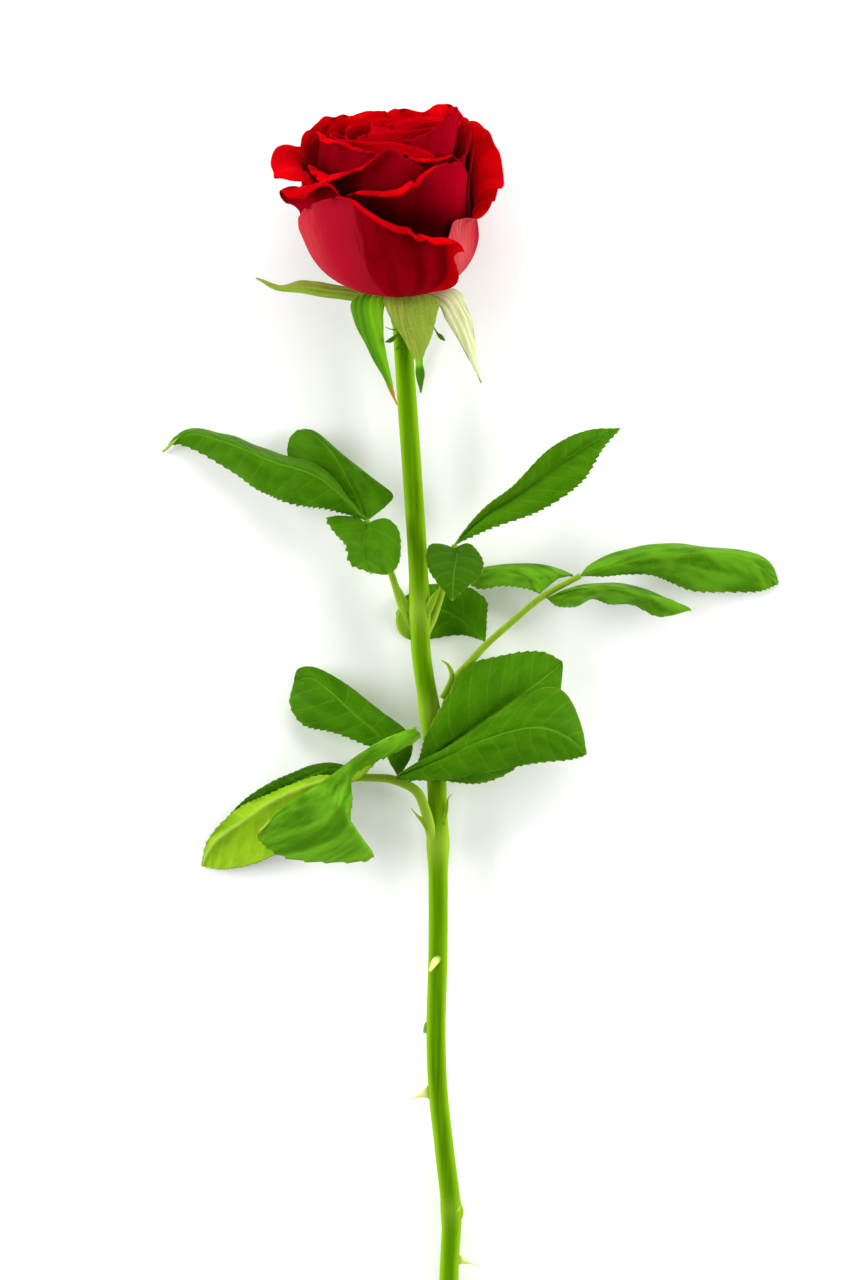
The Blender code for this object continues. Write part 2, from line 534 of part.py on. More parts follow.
def turned_on_axis(profile, sides):
    """A solid turned about the bloom's axis from (height, radius) pairs."""
    right, back, up = bloom_axes()
    turn = np.arange(sides) / sides * 2 * math.pi
    height, radius = np.array(profile).T
    around = np.cos(turn)[:, None] * right + np.sin(turn)[:, None] * back
    ring = BLOOM_BASE + height[:, None, None] * up + radius[:, None, None] * around
    k = np.arange(len(profile) * sides).reshape(len(profile), sides)
    after = np.roll(k, -1, axis=1)
    quads = np.stack((k[:-1], k[1:], after[1:], after[:-1]), -1).reshape(-1, 4).tolist()
    return ring.reshape(-1, 3), quads + [k[0].tolist(), k[-1, ::-1].tolist()]


def stem():
    line = curve_at(STEM_LINE, np.linspace(0, 1, 60))
    radius = np.full(len(line), STEM_RADIUS)
    for place, extra, half in STEM_KNOTS:
        radius += extra * np.exp(-(((line[:, 1] - place) / half) ** 2))
    return rings(line, radius, radius, 12, CUT_SLANT)


def stalk(path, first, last):
    line = curve_at(path, np.linspace(0, 1, 4 * len(path) - 3))
    radius = np.linspace(first, last, len(line))
    return rings(line, radius, radius, 8)


def prickle(root, tip, half):
    t = np.linspace(0, 1, 5)[:, None]
    line = np.array(root) * (1 - t) + np.array(tip) * t
    taper = (1 - t[:, 0]) ** 1.6
    return rings(line, 0.12 + (half - 0.12) * taper, 0.1 + 0.6 * taper, 8)


def material(name, color, roughness):
    made = bpy.data.materials.new(name)
    made.use_nodes = True
    shader = made.node_tree.nodes["Principled BSDF"]
    shader.inputs["Base Color"].default_value = (*color, 1.0)
    shader.inputs["Roughness"].default_value = roughness
    return made


def solid(name, shape, look):
    """An object from points in millimetres of the tables; its faces are turned outwards."""
    points, faces = shape
    mesh = bpy.data.meshes.new(name)
    mesh.from_pydata(((points - ORIGIN) * MM).tolist(), [], faces)
    mesh.update()
    corners = [tuple(mesh.vertices[i].co for i in face.vertices) for face in mesh.polygons]
    volume = 0.0
    for face in corners:
        for b, c in zip(face[1:], face[2:]):
            volume += face[0].dot(b.cross(c))
    if volume < 0:
        mesh.flip_normals()
    mesh.materials.append(look)
    bpy.context.scene.collection.objects.link(bpy.data.objects.new(name, mesh))


def main():
    for old in list(bpy.data.objects):
        bpy.data.objects.remove(old)
    red = material("petal_red", (0.55, 0.0, 0.012), 0.6)
    leaf = material("leaf_green", (0.045, 0.19, 0.008), 0.45)
    green = material("stem_green", (0.12, 0.33, 0.012), 0.45)
    pale = material("sepal_green", (0.22, 0.36, 0.07), 0.6)
    horn = material("prickle_straw", (0.62, 0.6, 0.22), 0.5)
    straw = material("stamen_straw", (0.7, 0.5, 0.12), 0.7)
    solid("stem", stem(), green)
    solid("hip", turned_on_axis(HIP_PROFILE, 16), green)
    solid("stamens", turned_on_axis(STAMEN_PROFILE, 10), straw)
    for name, (root, tip, half) in PRICKLES.items():
        solid(name, prickle(root, tip, half), horn)
    for name, (path, first, last) in STALKS.items():
        solid(name, stalk(path, first, last), green)
    for name, shape in LEAFLETS.items():
        solid(name, slab(blade(shape, LEAF_BULGE, *grid(7, 11, 0.015, 0.985)), LEAF_THICK), leaf)
    for name, shape in SEPALS.items():
        solid(name, slab(blade(shape, SEPAL_BULGE, *grid(5, 9, 0.02, 0.98)), SEPAL_THICK), pale)
    for name, spec in PETALS.items():
        solid(name, slab(petal(spec, *petal_grid(11, 14)), PETAL_THICK), red)
    for i, spec in enumerate(heart_petals()):
        solid(f"petal_heart_{i + 1:02d}", slab(petal(spec, *petal_grid(17, 10)), PETAL_THICK), red)


main()
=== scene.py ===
"""The looks of a cut rose that lies on its back on a pale table, seen from straight above.

Lengths in the tables are millimetres, with Y counted from the cut end of the stem, as in the part's own
source; SHIFT carries them to the frame. Every piece is a sheet or a tube worked out on a grid.
"""

import math

import bpy
import numpy as np
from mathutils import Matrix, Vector


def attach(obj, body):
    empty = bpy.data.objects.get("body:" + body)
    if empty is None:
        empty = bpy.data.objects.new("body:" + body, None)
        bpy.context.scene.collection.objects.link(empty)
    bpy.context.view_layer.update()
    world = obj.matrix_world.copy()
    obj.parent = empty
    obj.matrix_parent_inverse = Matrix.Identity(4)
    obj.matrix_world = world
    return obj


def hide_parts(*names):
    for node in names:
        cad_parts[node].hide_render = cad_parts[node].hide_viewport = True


MM = 0.001
SHIFT = (13.1, 197.9, 0.45)

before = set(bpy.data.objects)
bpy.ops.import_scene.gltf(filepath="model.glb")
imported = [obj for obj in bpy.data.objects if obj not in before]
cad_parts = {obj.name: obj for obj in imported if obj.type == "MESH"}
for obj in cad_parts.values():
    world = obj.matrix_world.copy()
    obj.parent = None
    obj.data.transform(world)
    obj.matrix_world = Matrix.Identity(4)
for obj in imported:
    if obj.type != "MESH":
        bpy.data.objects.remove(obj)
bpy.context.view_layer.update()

# The stem: X, Y and height of its middle line, from the cut end up to the hip.
STEM_RADIUS = 2.9
STEM_LINE = ((5.6, 0, 3.2), (6.6, 47, 5), (7.3, 66.5, 5.9), (5.2, 86, 6.6), (3.3, 104, 7.3),
             (2.7, 122, 8), (3.3, 146, 8.8), (3.3, 176, 9.8), (3, 194, 10.3), (1.8, 209, 10.8),
             (0.3, 221, 11.2), (-1.8, 236, 11.7), (-2.2, 251, 12.1), (-3, 267.6, 12.6),
             (-4.5, 290, 12.9), (-6, 311, 13.4), (-6.95, 325, 14.8), (-7.48, 334.3, 17.5))
CUT_SLANT = 2.4
# Knots of the stem: distance up the stem, extra radius, half length.
STEM_KNOTS = ((67.5, 0.3, 4), (178, 0.6, 5), (218, 0.45, 4.5), (248, 0.6, 5.5))

# The bloom: where the petals are seated, how far its axis rises from the table and leans left.
BLOOM_BASE = np.array((-8.2, 343.6, 20.9))
BLOOM_RISE = 20.0
BLOOM_LEAN = 4.5
# Sideways sway of the bowl at every 10 mm of height, and shift of the heart at the height of the rims.
BOWL_SWAY = (2.0, 1.0, -0.5, -1.2, -0.8, 0.5, 1.2)
HEART_RIGHT = 8.0
HEART_BACK = 8.0
HEART_HEIGHT = 45.0
# Root of a petal: its radius and height at the heart, and how far they widen and drop to the outside;
# the share of its width that the root has.
SEAT_RADIUS = 1.9
SEAT_WIDENING = 4.4
SEAT_HEIGHT = 6.2
SEAT_DROP = 5.4
ROOT_SPREAD = 0.42
# Rounding of a petal's corners, waves, nicks and dents, all in mm; waves of the roll, as a share of it.
CORNER_ROUND = 5.0
RIM_WAVE = 0.5
RIM_NICK = 4.0
DENT = 0.35
ROLL_WAVE = 0.22
WALL_STEPS = 160
# Profiles of the hip and of the stamens: height on the bloom's axis and radius.
HIP_PROFILE = ((-9.3, 2.9), (-7.2, 3.9), (-4.6, 4.7), (-2, 5.2), (0.2, 5.8), (6.2, 1.4))
STAMEN_PROFILE = ((6.7, 0.9), (9, 1.1), (12.5, 2), (14, 1.3))

# Leaf stalks: middle line, radius at the stem, radius at the end.
STALKS = {
    "leaf_a_stalk": (
        ((-3.4, 239.6, 11.6), (-6.2, 245, 12.4), (-8.2, 251, 13.2), (-10.6, 258.6, 14),
         (-14.2, 267, 14.6), (-18.2, 275, 15.4)),
        1.15,
        0.85,
    ),
    "leaf_b_stalk": (
        ((-1.2, 240, 11.8), (1.8, 245.6, 12.3), (3.6, 251, 13), (5.4, 257, 13.8),
         (7.6, 263.6, 14.4), (8.4, 267.6, 14.6)),
        1.2,
        0.85,
    ),
    "leaf_c_stalk": (
        ((1.4, 208, 10.6), (4.7, 216.4, 11.2), (8.1, 226.6, 12.2), (12.9, 232.4, 12.4),
         (18, 237.9, 12.4), (26, 245, 12.6), (34.8, 252.2, 12.8), (46, 258.4, 12.2)),
        1.2,
        0.8,
    ),
    "leaf_d_stalk": (
        ((3, 174, 9.9), (1.2, 181.4, 12.2), (-0.5, 188.2, 13.4), (-3.4, 194, 13.9),
         (-9.9, 197.2, 13.9), (-16, 197.8, 13.3), (-22.4, 197.8, 12.7)),
        1.6,
        1,
    ),
}

# Prickles: root and tip, then half length of the root along the stem. Each is sunk PRICKLE_SUNK mm.
PRICKLE_SUNK = 1.1
PRICKLES = {
    "prickle_left": ((0.1, 102.8, 7.4), (-6, 100.8, 7.7), 2.1),
    "prickle_stub": ((-0.5, 121.6, 8), (-1.9, 121, 8.1), 1.4),
    "prickle_front": ((2.5, 142.6, 11.9), (0.7, 139.8, 15.6), 1.9),
    "prickle_right": ((9.9, 52.4, 5.3), (15.2, 51, 5.6), 1.7),
}

# Blades: middle line from base to tip, then the left and right margins between those two points.
LEAFLETS = {
    "leaf_a_tip": (
        ((-18.4, 275.3, 15.7), (-32.1, 287.4, 20), (-46.5, 292.6, 17.5), (-60.9, 298.6, 12),
         (-72, 300.9, 6), (-79.8, 295.8, 1.2)),
        ((-30.4, 278.4, 15.5), (-41.5, 280.2, 12.5), (-51, 284.6, 9.5), (-63, 292.6, 6),
         (-75, 298.2, 3)),
        ((-31.5, 290.4, 12), (-46.5, 295.6, 7.5), (-60.9, 301, 4.5), (-72, 302.4, 3)),
    ),
    "leaf_a_side": (
        ((-17.9, 274.8, 14.1), (-22.1, 283.9, 12), (-27.6, 293.9, 10.2), (-33, 300, 8),
         (-38.5, 302.4, 4.5)),
        ((-24.5, 277.5, 9.5), (-35, 284.5, 6.5), (-41.3, 292.5, 4), (-41.5, 299.1, 4)),
        ((-12.2, 279.4, 11), (-10.6, 283, 9), (-17.5, 288.6, 8), (-26, 295.3, 6.5),
         (-33.7, 301.5, 4.6)),
    ),
    "leaf_a_front": (
        ((-17.8, 273.6, 16.6), (-18.2, 271.7, 19.5), (-19, 267.5, 26), (-18.5, 262.7, 33),
         (-16.5, 258.9, 40)),
        ((-12.4, 275.1, 18), (-8.6, 272, 22), (-7.8, 266.7, 28), (-8.7, 261, 34), (-12, 258.6, 38)),
        ((-22.2, 276, 14.2), (-29.6, 275.4, 14.6), (-27.6, 271.2, 20), (-24.3, 267.5, 28),
         (-22.6, 261.6, 35)),
    ),
    "leaf_b_tip": (
        ((8.1, 267.5, 14.6), (17, 276, 15.6), (28, 283.4, 16.6), (39.5, 291.8, 16),
         (50, 298.5, 13.5), (58.2, 302.8, 9)),
        ((15.6, 277.2, 17), (26, 285.6, 19.6), (36.7, 296.3, 19.6), (47, 301.6, 15.6)),
        ((19, 272.4, 17.4), (34, 277.8, 18.6), (46.3, 286.3, 17.6), (52.4, 296, 13.8)),
    ),
    "leaf_b_front": (
        ((8.3, 266.4, 15.7), (9, 264.6, 21), (8.3, 260.7, 28), (7.8, 255.9, 35), (7.5, 250.7, 39)),
        ((12.2, 268, 18), (15, 265.4, 22), (16.8, 261.6, 27), (15.2, 257.4, 32), (11.2, 254.3, 36)),
        ((1.6, 267.8, 19), (-0.2, 264.8, 24), (0.4, 260.2, 30), (3.9, 254.9, 36)),
    ),
    "leaf_c_tip": (
        ((45.7, 258.2, 12.2), (57.9, 262, 14), (72, 264.6, 14), (86, 265, 11.5), (98, 262.5, 7),
         (106.2, 256.3, 1.2)),
        ((51.6, 263.3, 9.5), (65, 267.4, 8), (80, 267.5, 6), (100.5, 264.4, 3.2)),
        ((54.9, 258.5, 10.5), (68, 258.6, 8.5), (80, 254, 6.5), (98.5, 253.8, 2.8)),
    ),
    "leaf_c_right": (
        ((35.8, 251.6, 13.4), (45.5, 254.6, 16), (55, 254.6, 15.5), (65, 252.4, 13),
         (73, 250.2, 10), (79.5, 248.1, 7.5)),
        ((42, 254.4, 14.8), (52, 256.2, 8.5), (62, 255.2, 6.6), (72, 251.8, 5.5)),
        ((39.4, 249.4, 11.6), (44.5, 249, 10), (49.5, 251.6, 9.5), (55, 250, 8.5), (62, 249.6, 7.5),
         (70, 246.2, 7)),
    ),
    "leaf_c_left": (
        ((33.8, 253, 12.4), (29.1, 257.9, 10.5), (22.4, 259.6, 8.5), (16, 259, 6.5), (11, 257.5, 4.5)),
        ((29.5, 254.6, 10.5), (23, 255.4, 8), (16, 254.6, 5.5)),
        ((39.5, 257.6, 8.5), (44, 258.6, 7), (36, 261.3, 5), (26, 261.8, 4), (17, 260.7, 3.6)),
    ),
    "leaf_c_back": (
        ((17.5, 238.5, 12.1), (10.4, 244.9, 6.5), (4.7, 248, 5), (-2, 248.6, 4), (-9.4, 246.6, 3.2)),
        ((12.8, 240.4, 7), (7, 240.4, 5), (0, 239.5, 3.6), (-6, 241.3, 3)),
        ((18, 246, 7.5), (17.6, 251.2, 6), (11, 255.4, 4.5), (1, 255.8, 3.4), (-6.6, 252.2, 3)),
    ),
    "leaf_d_tip": (
        ((-22.4, 197.8, 12.7), (-32, 196.6, 10.8), (-45, 191.4, 7.8), (-56, 184.2, 4.8),
         (-64, 178, 2.6), (-67.9, 171, 1.2)),
        ((-33, 198.3, 9.2), (-46, 193.4, 5.8), (-57, 188.3, 3.2), (-65.7, 179.4, 2)),
        ((-29, 190.5, 10), (-37, 180.5, 7.5), (-49, 172.9, 4.8), (-61, 170, 2.6)),
    ),
    "leaf_d_back": (
        ((-19.6, 199.2, 12.6), (-28, 200.9, 8.6), (-38.5, 196.7, 4.6), (-49, 191.9, 2.6),
         (-59.4, 186.8, 1.2)),
        ((-30, 195.5, 5), (-40, 191.5, 2.6), (-51, 187.6, 1.2)),
        ((-30.5, 202.2, 5), (-40, 199.2, 3), (-51, 193.9, 1.4)),
    ),
    "leaf_d_saddle": (
        ((-3.6, 213, 21), (-12.4, 209.6, 24), (-21.4, 204.3, 26), (-29, 198.6, 27),
         (-36.5, 193.6, 26), (-43.5, 188.8, 23), (-50.4, 181.4, 18)),
        ((-2.4, 209.6, 19), (-13.9, 203.5, 20.5), (-22.4, 198.2, 22), (-22.4, 191, 20),
         (-22.4, 183.6, 17.5), (-16.2, 173.9, 14), (-31, 172.7, 13), (-44, 174.6, 13.5),
         (-50, 179, 16.5)),
        ((-4, 212, 18), (-12, 206, 16.4), (-20, 198, 13.5), (-28, 195, 15.2), (-36, 190.4, 17),
         (-43.5, 185.4, 17)),
    ),
    "leaf_d_left": (
        ((-8.5, 197.9, 13.9), (-13.9, 209.8, 14), (-21.4, 216.5, 12.4), (-28.3, 223, 10),
         (-34.5, 227.6, 7.4), (-40, 226.8, 3.6)),
        ((-12.5, 204.8, 12.6), (-21, 208.8, 10.5), (-29, 211.6, 8), (-37, 213.6, 5.4),
         (-41.2, 220, 3.8)),
        ((-4.8, 204.5, 13.4), (-5.6, 211.2, 11.6), (-13.9, 217.8, 9.6), (-24, 225.4, 7.6),
         (-33, 230.6, 5.4), (-38.4, 230.4, 4)),
    ),
    "leaf_d_right": (
        ((-5.6, 196.6, 14.9), (4, 205.9, 17.6), (12.8, 212, 17.4), (20.4, 217.1, 16),
         (28, 222.3, 13.6), (36, 228.4, 10.6), (40.8, 232.4, 8.4)),
        ((-2.4, 203.6, 17.4), (0, 211.4, 18.2), (6, 222.2, 18), (11.5, 231.2, 15.6),
         (23.5, 234.6, 12), (34, 235.6, 9.6)),
        ((0.5, 197.8, 16.4), (8, 196.6, 15.4), (16.5, 196.4, 14.2), (25.5, 200, 12.8),
         (33, 208.5, 11.4), (39, 220, 9.8)),
    ),
    "leaf_d_front": (
        ((-10.2, 197.6, 15.2), (4, 203.6, 21.6), (17.9, 209.6, 24), (32.2, 213, 23), (42, 210, 19),
         (47.8, 204.7, 15)),
        ((-3, 202.6, 20.2), (8, 208.2, 22.4), (20, 216.6, 22), (32, 223.9, 19.6), (40.6, 223.8, 17),
         (46.2, 213.2, 15)),
        ((-4, 197.2, 18.6), (8, 197.9, 20.6), (20, 200.1, 20.6), (31, 202.3, 18.6), (42, 203.2, 16)),
    ),
}
LEAF_BULGE = 0.5

SEPALS = {
    "sepal_left": (
        ((-13.4, 341.6, 20.8), (-19, 341.9, 20.2), (-28, 343.2, 18.6), (-37, 344.5, 16.4),
         (-45, 344.9, 14.3), (-51.3, 347.6, 12.6)),
        ((-18, 340.2, 21.6), (-28, 341.2, 20.1), (-37, 342.7, 17.6), (-45, 343.9, 15.1)),
        ((-18, 343.2, 18.6), (-28, 345.2, 16.6), (-36.5, 346.6, 14.6), (-44.5, 345.3, 13.3)),
    ),
    "sepal_front_left": (
        ((-14.8, 343.4, 22.5), (-17.6, 339.6, 26.6), (-17.3, 334.4, 27.6), (-15.2, 326.9, 26.2),
         (-12.6, 319.6, 23.9), (-8.9, 309.3, 19.6)),
        ((-12.7, 340.4, 26), (-13.1, 334.4, 27), (-12.6, 326.9, 25.6), (-11, 318.4, 23.2)),
        ((-22.2, 340.2, 24), (-21.6, 334.4, 25), (-18.2, 327, 24.6), (-13.6, 318.6, 22.6)),
    ),
    "sepal_front": (
        ((-6.6, 343.6, 23.6), (-5.6, 338.4, 28.4), (-4.8, 332.6, 29), (-3.4, 326.6, 27.8),
         (-2.4, 321.9, 26.6), (-2, 318, 26), (-1.8, 312.8, 25.2)),
        ((3, 340.8, 24.8), (2.8, 335.6, 26.4), (1.2, 329.4, 26.8), (-1.3, 322.6, 26.6),
         (-0.7, 318, 26)),
        ((-12.9, 341, 25.6), (-10.8, 335.4, 27.8), (-7, 328.6, 27.4), (-3.5, 322.6, 26.6),
         (-3.3, 318, 26)),
    ),
    "sepal_right": (
        ((-1.5, 343, 21), (5.6, 340.6, 23.8), (8.9, 335.6, 23.2), (11.6, 329.4, 21.6),
         (14, 323, 19.2), (16.3, 315.9, 16.6)),
        ((8.6, 343.6, 21.6), (12.2, 337.4, 21.4), (14.2, 329.5, 20), (14.6, 323.4, 18.6)),
        ((3.4, 339.2, 24.2), (5.6, 334.6, 24.4), (9, 329.2, 22.6), (12.9, 322.2, 19.6)),
    ),
    "sepal_back": (
        ((-8.2, 341.8, 15), (-7.8, 337, 11), (-6.6, 330, 7.2), (-6, 321, 4.2), (-5.6, 312, 2.2)),
        ((-11.2, 338, 10.2), (-9.4, 330, 6.6), (-7.8, 321, 3.8)),
        ((-4.6, 338, 10.2), (-3.8, 330, 6.6), (-4.2, 321, 3.8)),
    ),
}
SEPAL_BULGE = 0.3

PETAL_THICK = 0.3
SEPAL_THICK = 0.5
LEAF_THICK = 0.42

# Petals, one by one. Each has its layer (0 at the heart, 1 outside) and the change of it towards the
# right edge, the outward curl of its right edge in degrees, how the roll of the rim grows (over 1: like a
# scroll, under 1: a fold with a flat flap), and rows along its rim: azimuth (0 right, 90 under, 180 left,
# -90 up from the table), length up to the crest, roll of the rim in degrees, length of the roll.
PETALS = {
    "petal_01": (1, 0.02, 150, 1.2, (
        (-168, 38, 10, 3), (-153, 41.5, 15, 3), (-140, 44.5, 20, 3), (-128, 47.5, 40, 4),
        (-115, 49, 90, 5), (-102, 45.5, 135, 6), (-90, 42, 150, 6.5), (-78, 39, 150, 6.5),
        (-67, 36, 150, 6.5), (-57, 35.5, 140, 6), (-48, 35, 110, 4))),
    "petal_02": (0.98, 0, 0, 0.8, (
        (-58, 27, 10, 3), (-46, 33.5, 10, 3), (-34, 36.5, 30, 5), (-22, 37.5, 70, 9),
        (-10, 39, 100, 12), (2, 42, 110, 12), (14, 47, 110, 12), (26, 51, 100, 10), (38, 54, 80, 8),
        (50, 55, 50, 6))),
    "petal_03": (0.94, 0, 0, 1.2, (
        (24, 54, 40, 5), (36, 57, 50, 5), (47, 58.7, 50, 5), (58, 59.4, 50, 5), (69, 56.2, 60, 5),
        (80, 56.8, 60, 5), (92, 57, 60, 5), (104, 57, 60, 5), (114, 56, 60, 5), (123, 55, 50, 5))),
    "petal_04": (0.925, 0, 0, 1, (
        (-200, 38, 20, 3), (-188, 38.5, 40, 4), (-177, 40, 80, 6), (-166, 45.5, 125, 8),
        (-156, 49, 145, 9), (-146, 51.5, 158, 9.5), (-136, 52.5, 160, 8), (-126, 50, 90, 4),
        (-116, 46, 10, 3))),
    "petal_05": (0.9, 0, 0, 1.2, (
        (-16, 42, 10, 3), (-6, 46, 15, 3), (4, 50, 20, 4), (14, 54, 20, 4), (24, 56, 15, 4),
        (36, 56.5, 10, 3), (48, 56, 5, 3), (60, 55, 0, 3))),
    "petal_06": (0.895, 0, 0, 1.2, (
        (86, 55, 0, 3), (98, 56, 5, 3), (110, 55.5, 10, 3), (122, 57, 20, 4), (134, 57, 60, 5),
        (146, 56, 50, 5), (157, 54.5, 40, 4), (166, 52, 20, 3))),
    "petal_07": (0.86, 0, 0, 0.55, (
        (-228, 53, 0, 3), (-214, 53.5, 10, 3), (-202, 51.5, 10, 3), (-192, 52.5, 75, 8),
        (-182, 52.3, 110, 10), (-172, 50.8, 116, 9.5), (-162, 50.6, 138, 10.5),
        (-153, 50.3, 138, 9), (-142, 49, 40, 3))),
    "petal_08": (0.87, 0, 0, 1.2, (
        (-130, 44, 10, 3), (-118, 46.3, 60, 4), (-106, 47.3, 130, 6), (-94, 47.8, 145, 7),
        (-82, 48.8, 145, 7), (-70, 51, 120, 6), (-58, 52.2, 60, 4), (-46, 51, 20, 3),
        (-32, 49, 15, 3), (-18, 46, 10, 3), (-4, 42, 0, 3))),
    "petal_09": (0.82, 0, 0, 1.2, (
        (-40, 49, 10, 3), (-28, 49.8, 15, 3), (-16, 49.5, 20, 4), (-4, 50.5, 20, 4), (8, 53, 25, 4),
        (20, 55, 30, 4), (32, 55, 30, 4), (46, 54.5, 20, 4), (60, 54, 10, 4))),
    "petal_10": (0.785, 0, 0, 1.2, (
        (56, 53.5, 5, 4), (68, 54, 20, 5), (82, 54.8, 40, 5), (98, 55, 40, 5), (114, 54.5, 40, 5),
        (130, 55, 40, 5), (146, 55, 20, 4))),
    "petal_11": (0.78, 0, 0, 1.2, (
        (-170, 49, 50, 4), (-156, 49.5, 105, 6), (-142, 49.8, 135, 7), (-129, 50.4, 150, 7.5),
        (-117, 51.6, 135, 6.5), (-106, 53.5, 100, 5), (-95, 56, 50, 3), (-84, 53.2, 15, 3),
        (-72, 51.5, 10, 3), (-60, 49, 5, 3))),
    "petal_12": (0.725, 0, 0, 1.2, (
        (-208, 53, 20, 4), (-194, 54, 40, 4), (-180, 55, 60, 4.5), (-163, 56.5, 90, 4.5),
        (-146, 56.8, 115, 5), (-130, 56.1, 120, 5), (-116, 54.8, 110, 5), (-104, 53, 80, 4),
        (-94, 51.2, 20, 3))),
    "petal_13": (0.697, 0, 0, 1.2, (
        (-99, 51, 0, 3), (-89, 52, 50, 3), (-77, 51.3, 125, 5), (-64, 50.2, 135, 5),
        (-50, 48.7, 130, 5), (-35, 47, 90, 4), (-18, 45.5, 30, 3), (0, 44, 0, 3))),
    "petal_14": (0.618, 0.015, 0, 1.2, (
        (-126, 51, 15, 3), (-111, 52.4, 30, 3), (-97, 53, 20, 3), (-83, 53.5, 15, 3),
        (-69, 54.3, 10, 3), (-55, 56.2, 5, 3), (-42, 59.2, 5, 3), (-31, 60.5, 10, 3),
        (-20, 55, 5, 3))),
}
# How strongly a petal is ruffled, where that isn't 1.
RUFFLES = {"petal_02": 2.0, "petal_06": 1.8}
HEART_RUFFLE = 0.4
# Between which petals, counted from 0, the colouring of their outer faces changes: the flanks that are
# partly painted sheen, and the painted light and shade of the petals within.
FIRST_PETAL = 0.5
FLANK_PETALS = 2.5
OUTER_PETALS = 4.5
WALL_PETALS = 13.5

# The petals of the heart follow a spiral: count, first azimuth, step, half width in degrees and its growth,
# first layer and step of the layer. The rim's length falls by HEART_DROP from petal to petal and by
# HEART_FRONT towards the table, and along each rim by HEART_ENDS; HEART_ROLL is its roll in degrees.
HEART_COUNT = 10
HEART_START = -142.0
HEART_TURN = 137.5
HEART_HALF = 100
HEART_GROWTH = 3
HEART_LAYER = 0.653
HEART_STEP = 0.067
HEART_TOP = 53.2
HEART_DROP = 0.9
HEART_FRONT = 1.8
HEART_ENDS = (6.0, 1.0, 0.0, 1.0, 6.0)
HEART_ROLL = (0.0, 8.0, 30.0, 8.0, 0.0)

# Leaf surface: side ribs every RIB_STEP mm, raised between them by LEAF_QUILT mm; waves and the groove of
# the middle rib, LEAF_WAVE mm; teeth of the margin, their step and their length.
RIB_STEP = 5.5
LEAF_QUILT = 0.28
LEAF_WAVE = 0.3
TOOTH_STEP = 2.1
TOOTH = 1.5

# Tone of a leaflet's upper face: 0 is darker, 1 lighter than the 0.5 of those that aren't named.
LEAF_TONES = {
    "leaf_a_side": 0.6,
    "leaf_b_front": 0.15,
    "leaf_c_tip": 0.75,
    "leaf_c_right": 0.8,
    "leaf_c_left": 1,
    "leaf_d_back": 0,
    "leaf_d_saddle": 1,
}

# How strongly the left and the right margin of a leaflet are toothed, where both aren't 1.
TEETH = {
    "leaf_a_tip": (1, 0.12),
    "leaf_a_side": (0.25, 0.15),
    "leaf_a_front": (0.3, 1),
    "leaf_b_tip": (0.25, 0.75),
    "leaf_b_front": (0.35, 0.35),
    "leaf_c_tip": (0.12, 0.7),
    "leaf_c_right": (0.15, 0.5),
    "leaf_c_left": (0.55, 0.15),
    "leaf_c_back": (0.35, 0.35),
    "leaf_d_tip": (0.5, 0.15),
    "leaf_d_back": (0.3, 0.3),
    "leaf_d_left": (0.65, 0.12),
    "leaf_d_front": (0.12, 0.65),
    "leaf_d_right": (0.5, 0.5),
}

# Horns, hairs and wings beside the stem, a stalk or a sepal: path, half widths along it, and its tone where
# that isn't 0.2: how yellow on the stem, and as in SEPAL_TONES on a sepal.
WISPS = {
    "stem": (
        (
            ((-4.5, 239.1, 12.4), (-6.9, 241.8, 12.8), (-8.1, 245.7, 13), (-7.2, 250.2, 13.2)),
            (0.3, 1.5, 1.3, 0.2),
        ),
        (
            ((4.5, 221.7, 14.2), (6.6, 225.3, 15), (7.5, 228.6, 15.6), (6.3, 231.6, 15.9),
             (4.2, 233.1, 16)),
            (0.9, 1, 0.8, 0.5, 0.1),
        ),
        (
            ((1, 181, 13), (-0.9, 184.6, 13.8), (-3, 186.6, 14.2), (-4.8, 188.8, 14.4)),
            (0.8, 0.9, 0.35, 0.1),
        ),
        (
            ((4.8, 184, 12.4), (5.8, 188.4, 12.6), (6.3, 191.4, 12.8), (7.4, 193, 12.8)),
            (0.8, 0.6, 0.2, 0.08),
        ),
        (((8.6, 72.4, 6.4), (9.7, 67.2, 6.6), (9.2, 63.6, 6.2)), (0.7, 1.3, 0.6), 0.3),
        (((6.4, 67.2, 8.7), (8.6, 67.4, 8.5), (10.4, 69.6, 7.4)), (0.2, 0.5, 0.2), 1),
        (((-0.4, 246, 14.2), (1.4, 250.4, 14.9), (3.4, 254.4, 15.2)), (1, 1.2, 0.2)),
    ),
    "leaf_a_stalk": (
        (
            ((-4.8, 247.2, 13), (-7.5, 251.7, 13.5), (-9.6, 255.6, 13.8), (-10.8, 259.2, 14)),
            (0.8, 1.1, 1, 0.2),
        ),
    ),
    "sepal_front": (
        (((-8.6, 330.1, 27.4), (-10.7, 328.3, 27.6), (-12.5, 327.7, 27.8)), (0.3, 0.7, 0.1), 0),
        (((-9.5, 331.3, 27.8), (-11, 331.6, 28), (-12.5, 332.2, 28.2)), (0.2, 0.15, 0.06), 0),
        (((-6.2, 326.9, 27), (-8, 326.3, 27.1), (-9.5, 325.4, 27.2)), (0.3, 0.5, 0.1), 0),
        (
            ((1.8, 332.6, 26.2), (3, 330.5, 26), (4.2, 329.3, 25.9), (5.4, 328.1, 25.8)),
            (0.15, 0.3, 0.7, 0.1),
            0,
        ),
    ),
    "sepal_right": ((((9.8, 339.6, 21.6), (11, 338.1, 21.8), (12.2, 337.8, 22)), (0.2, 0.2, 0.06)),),
}

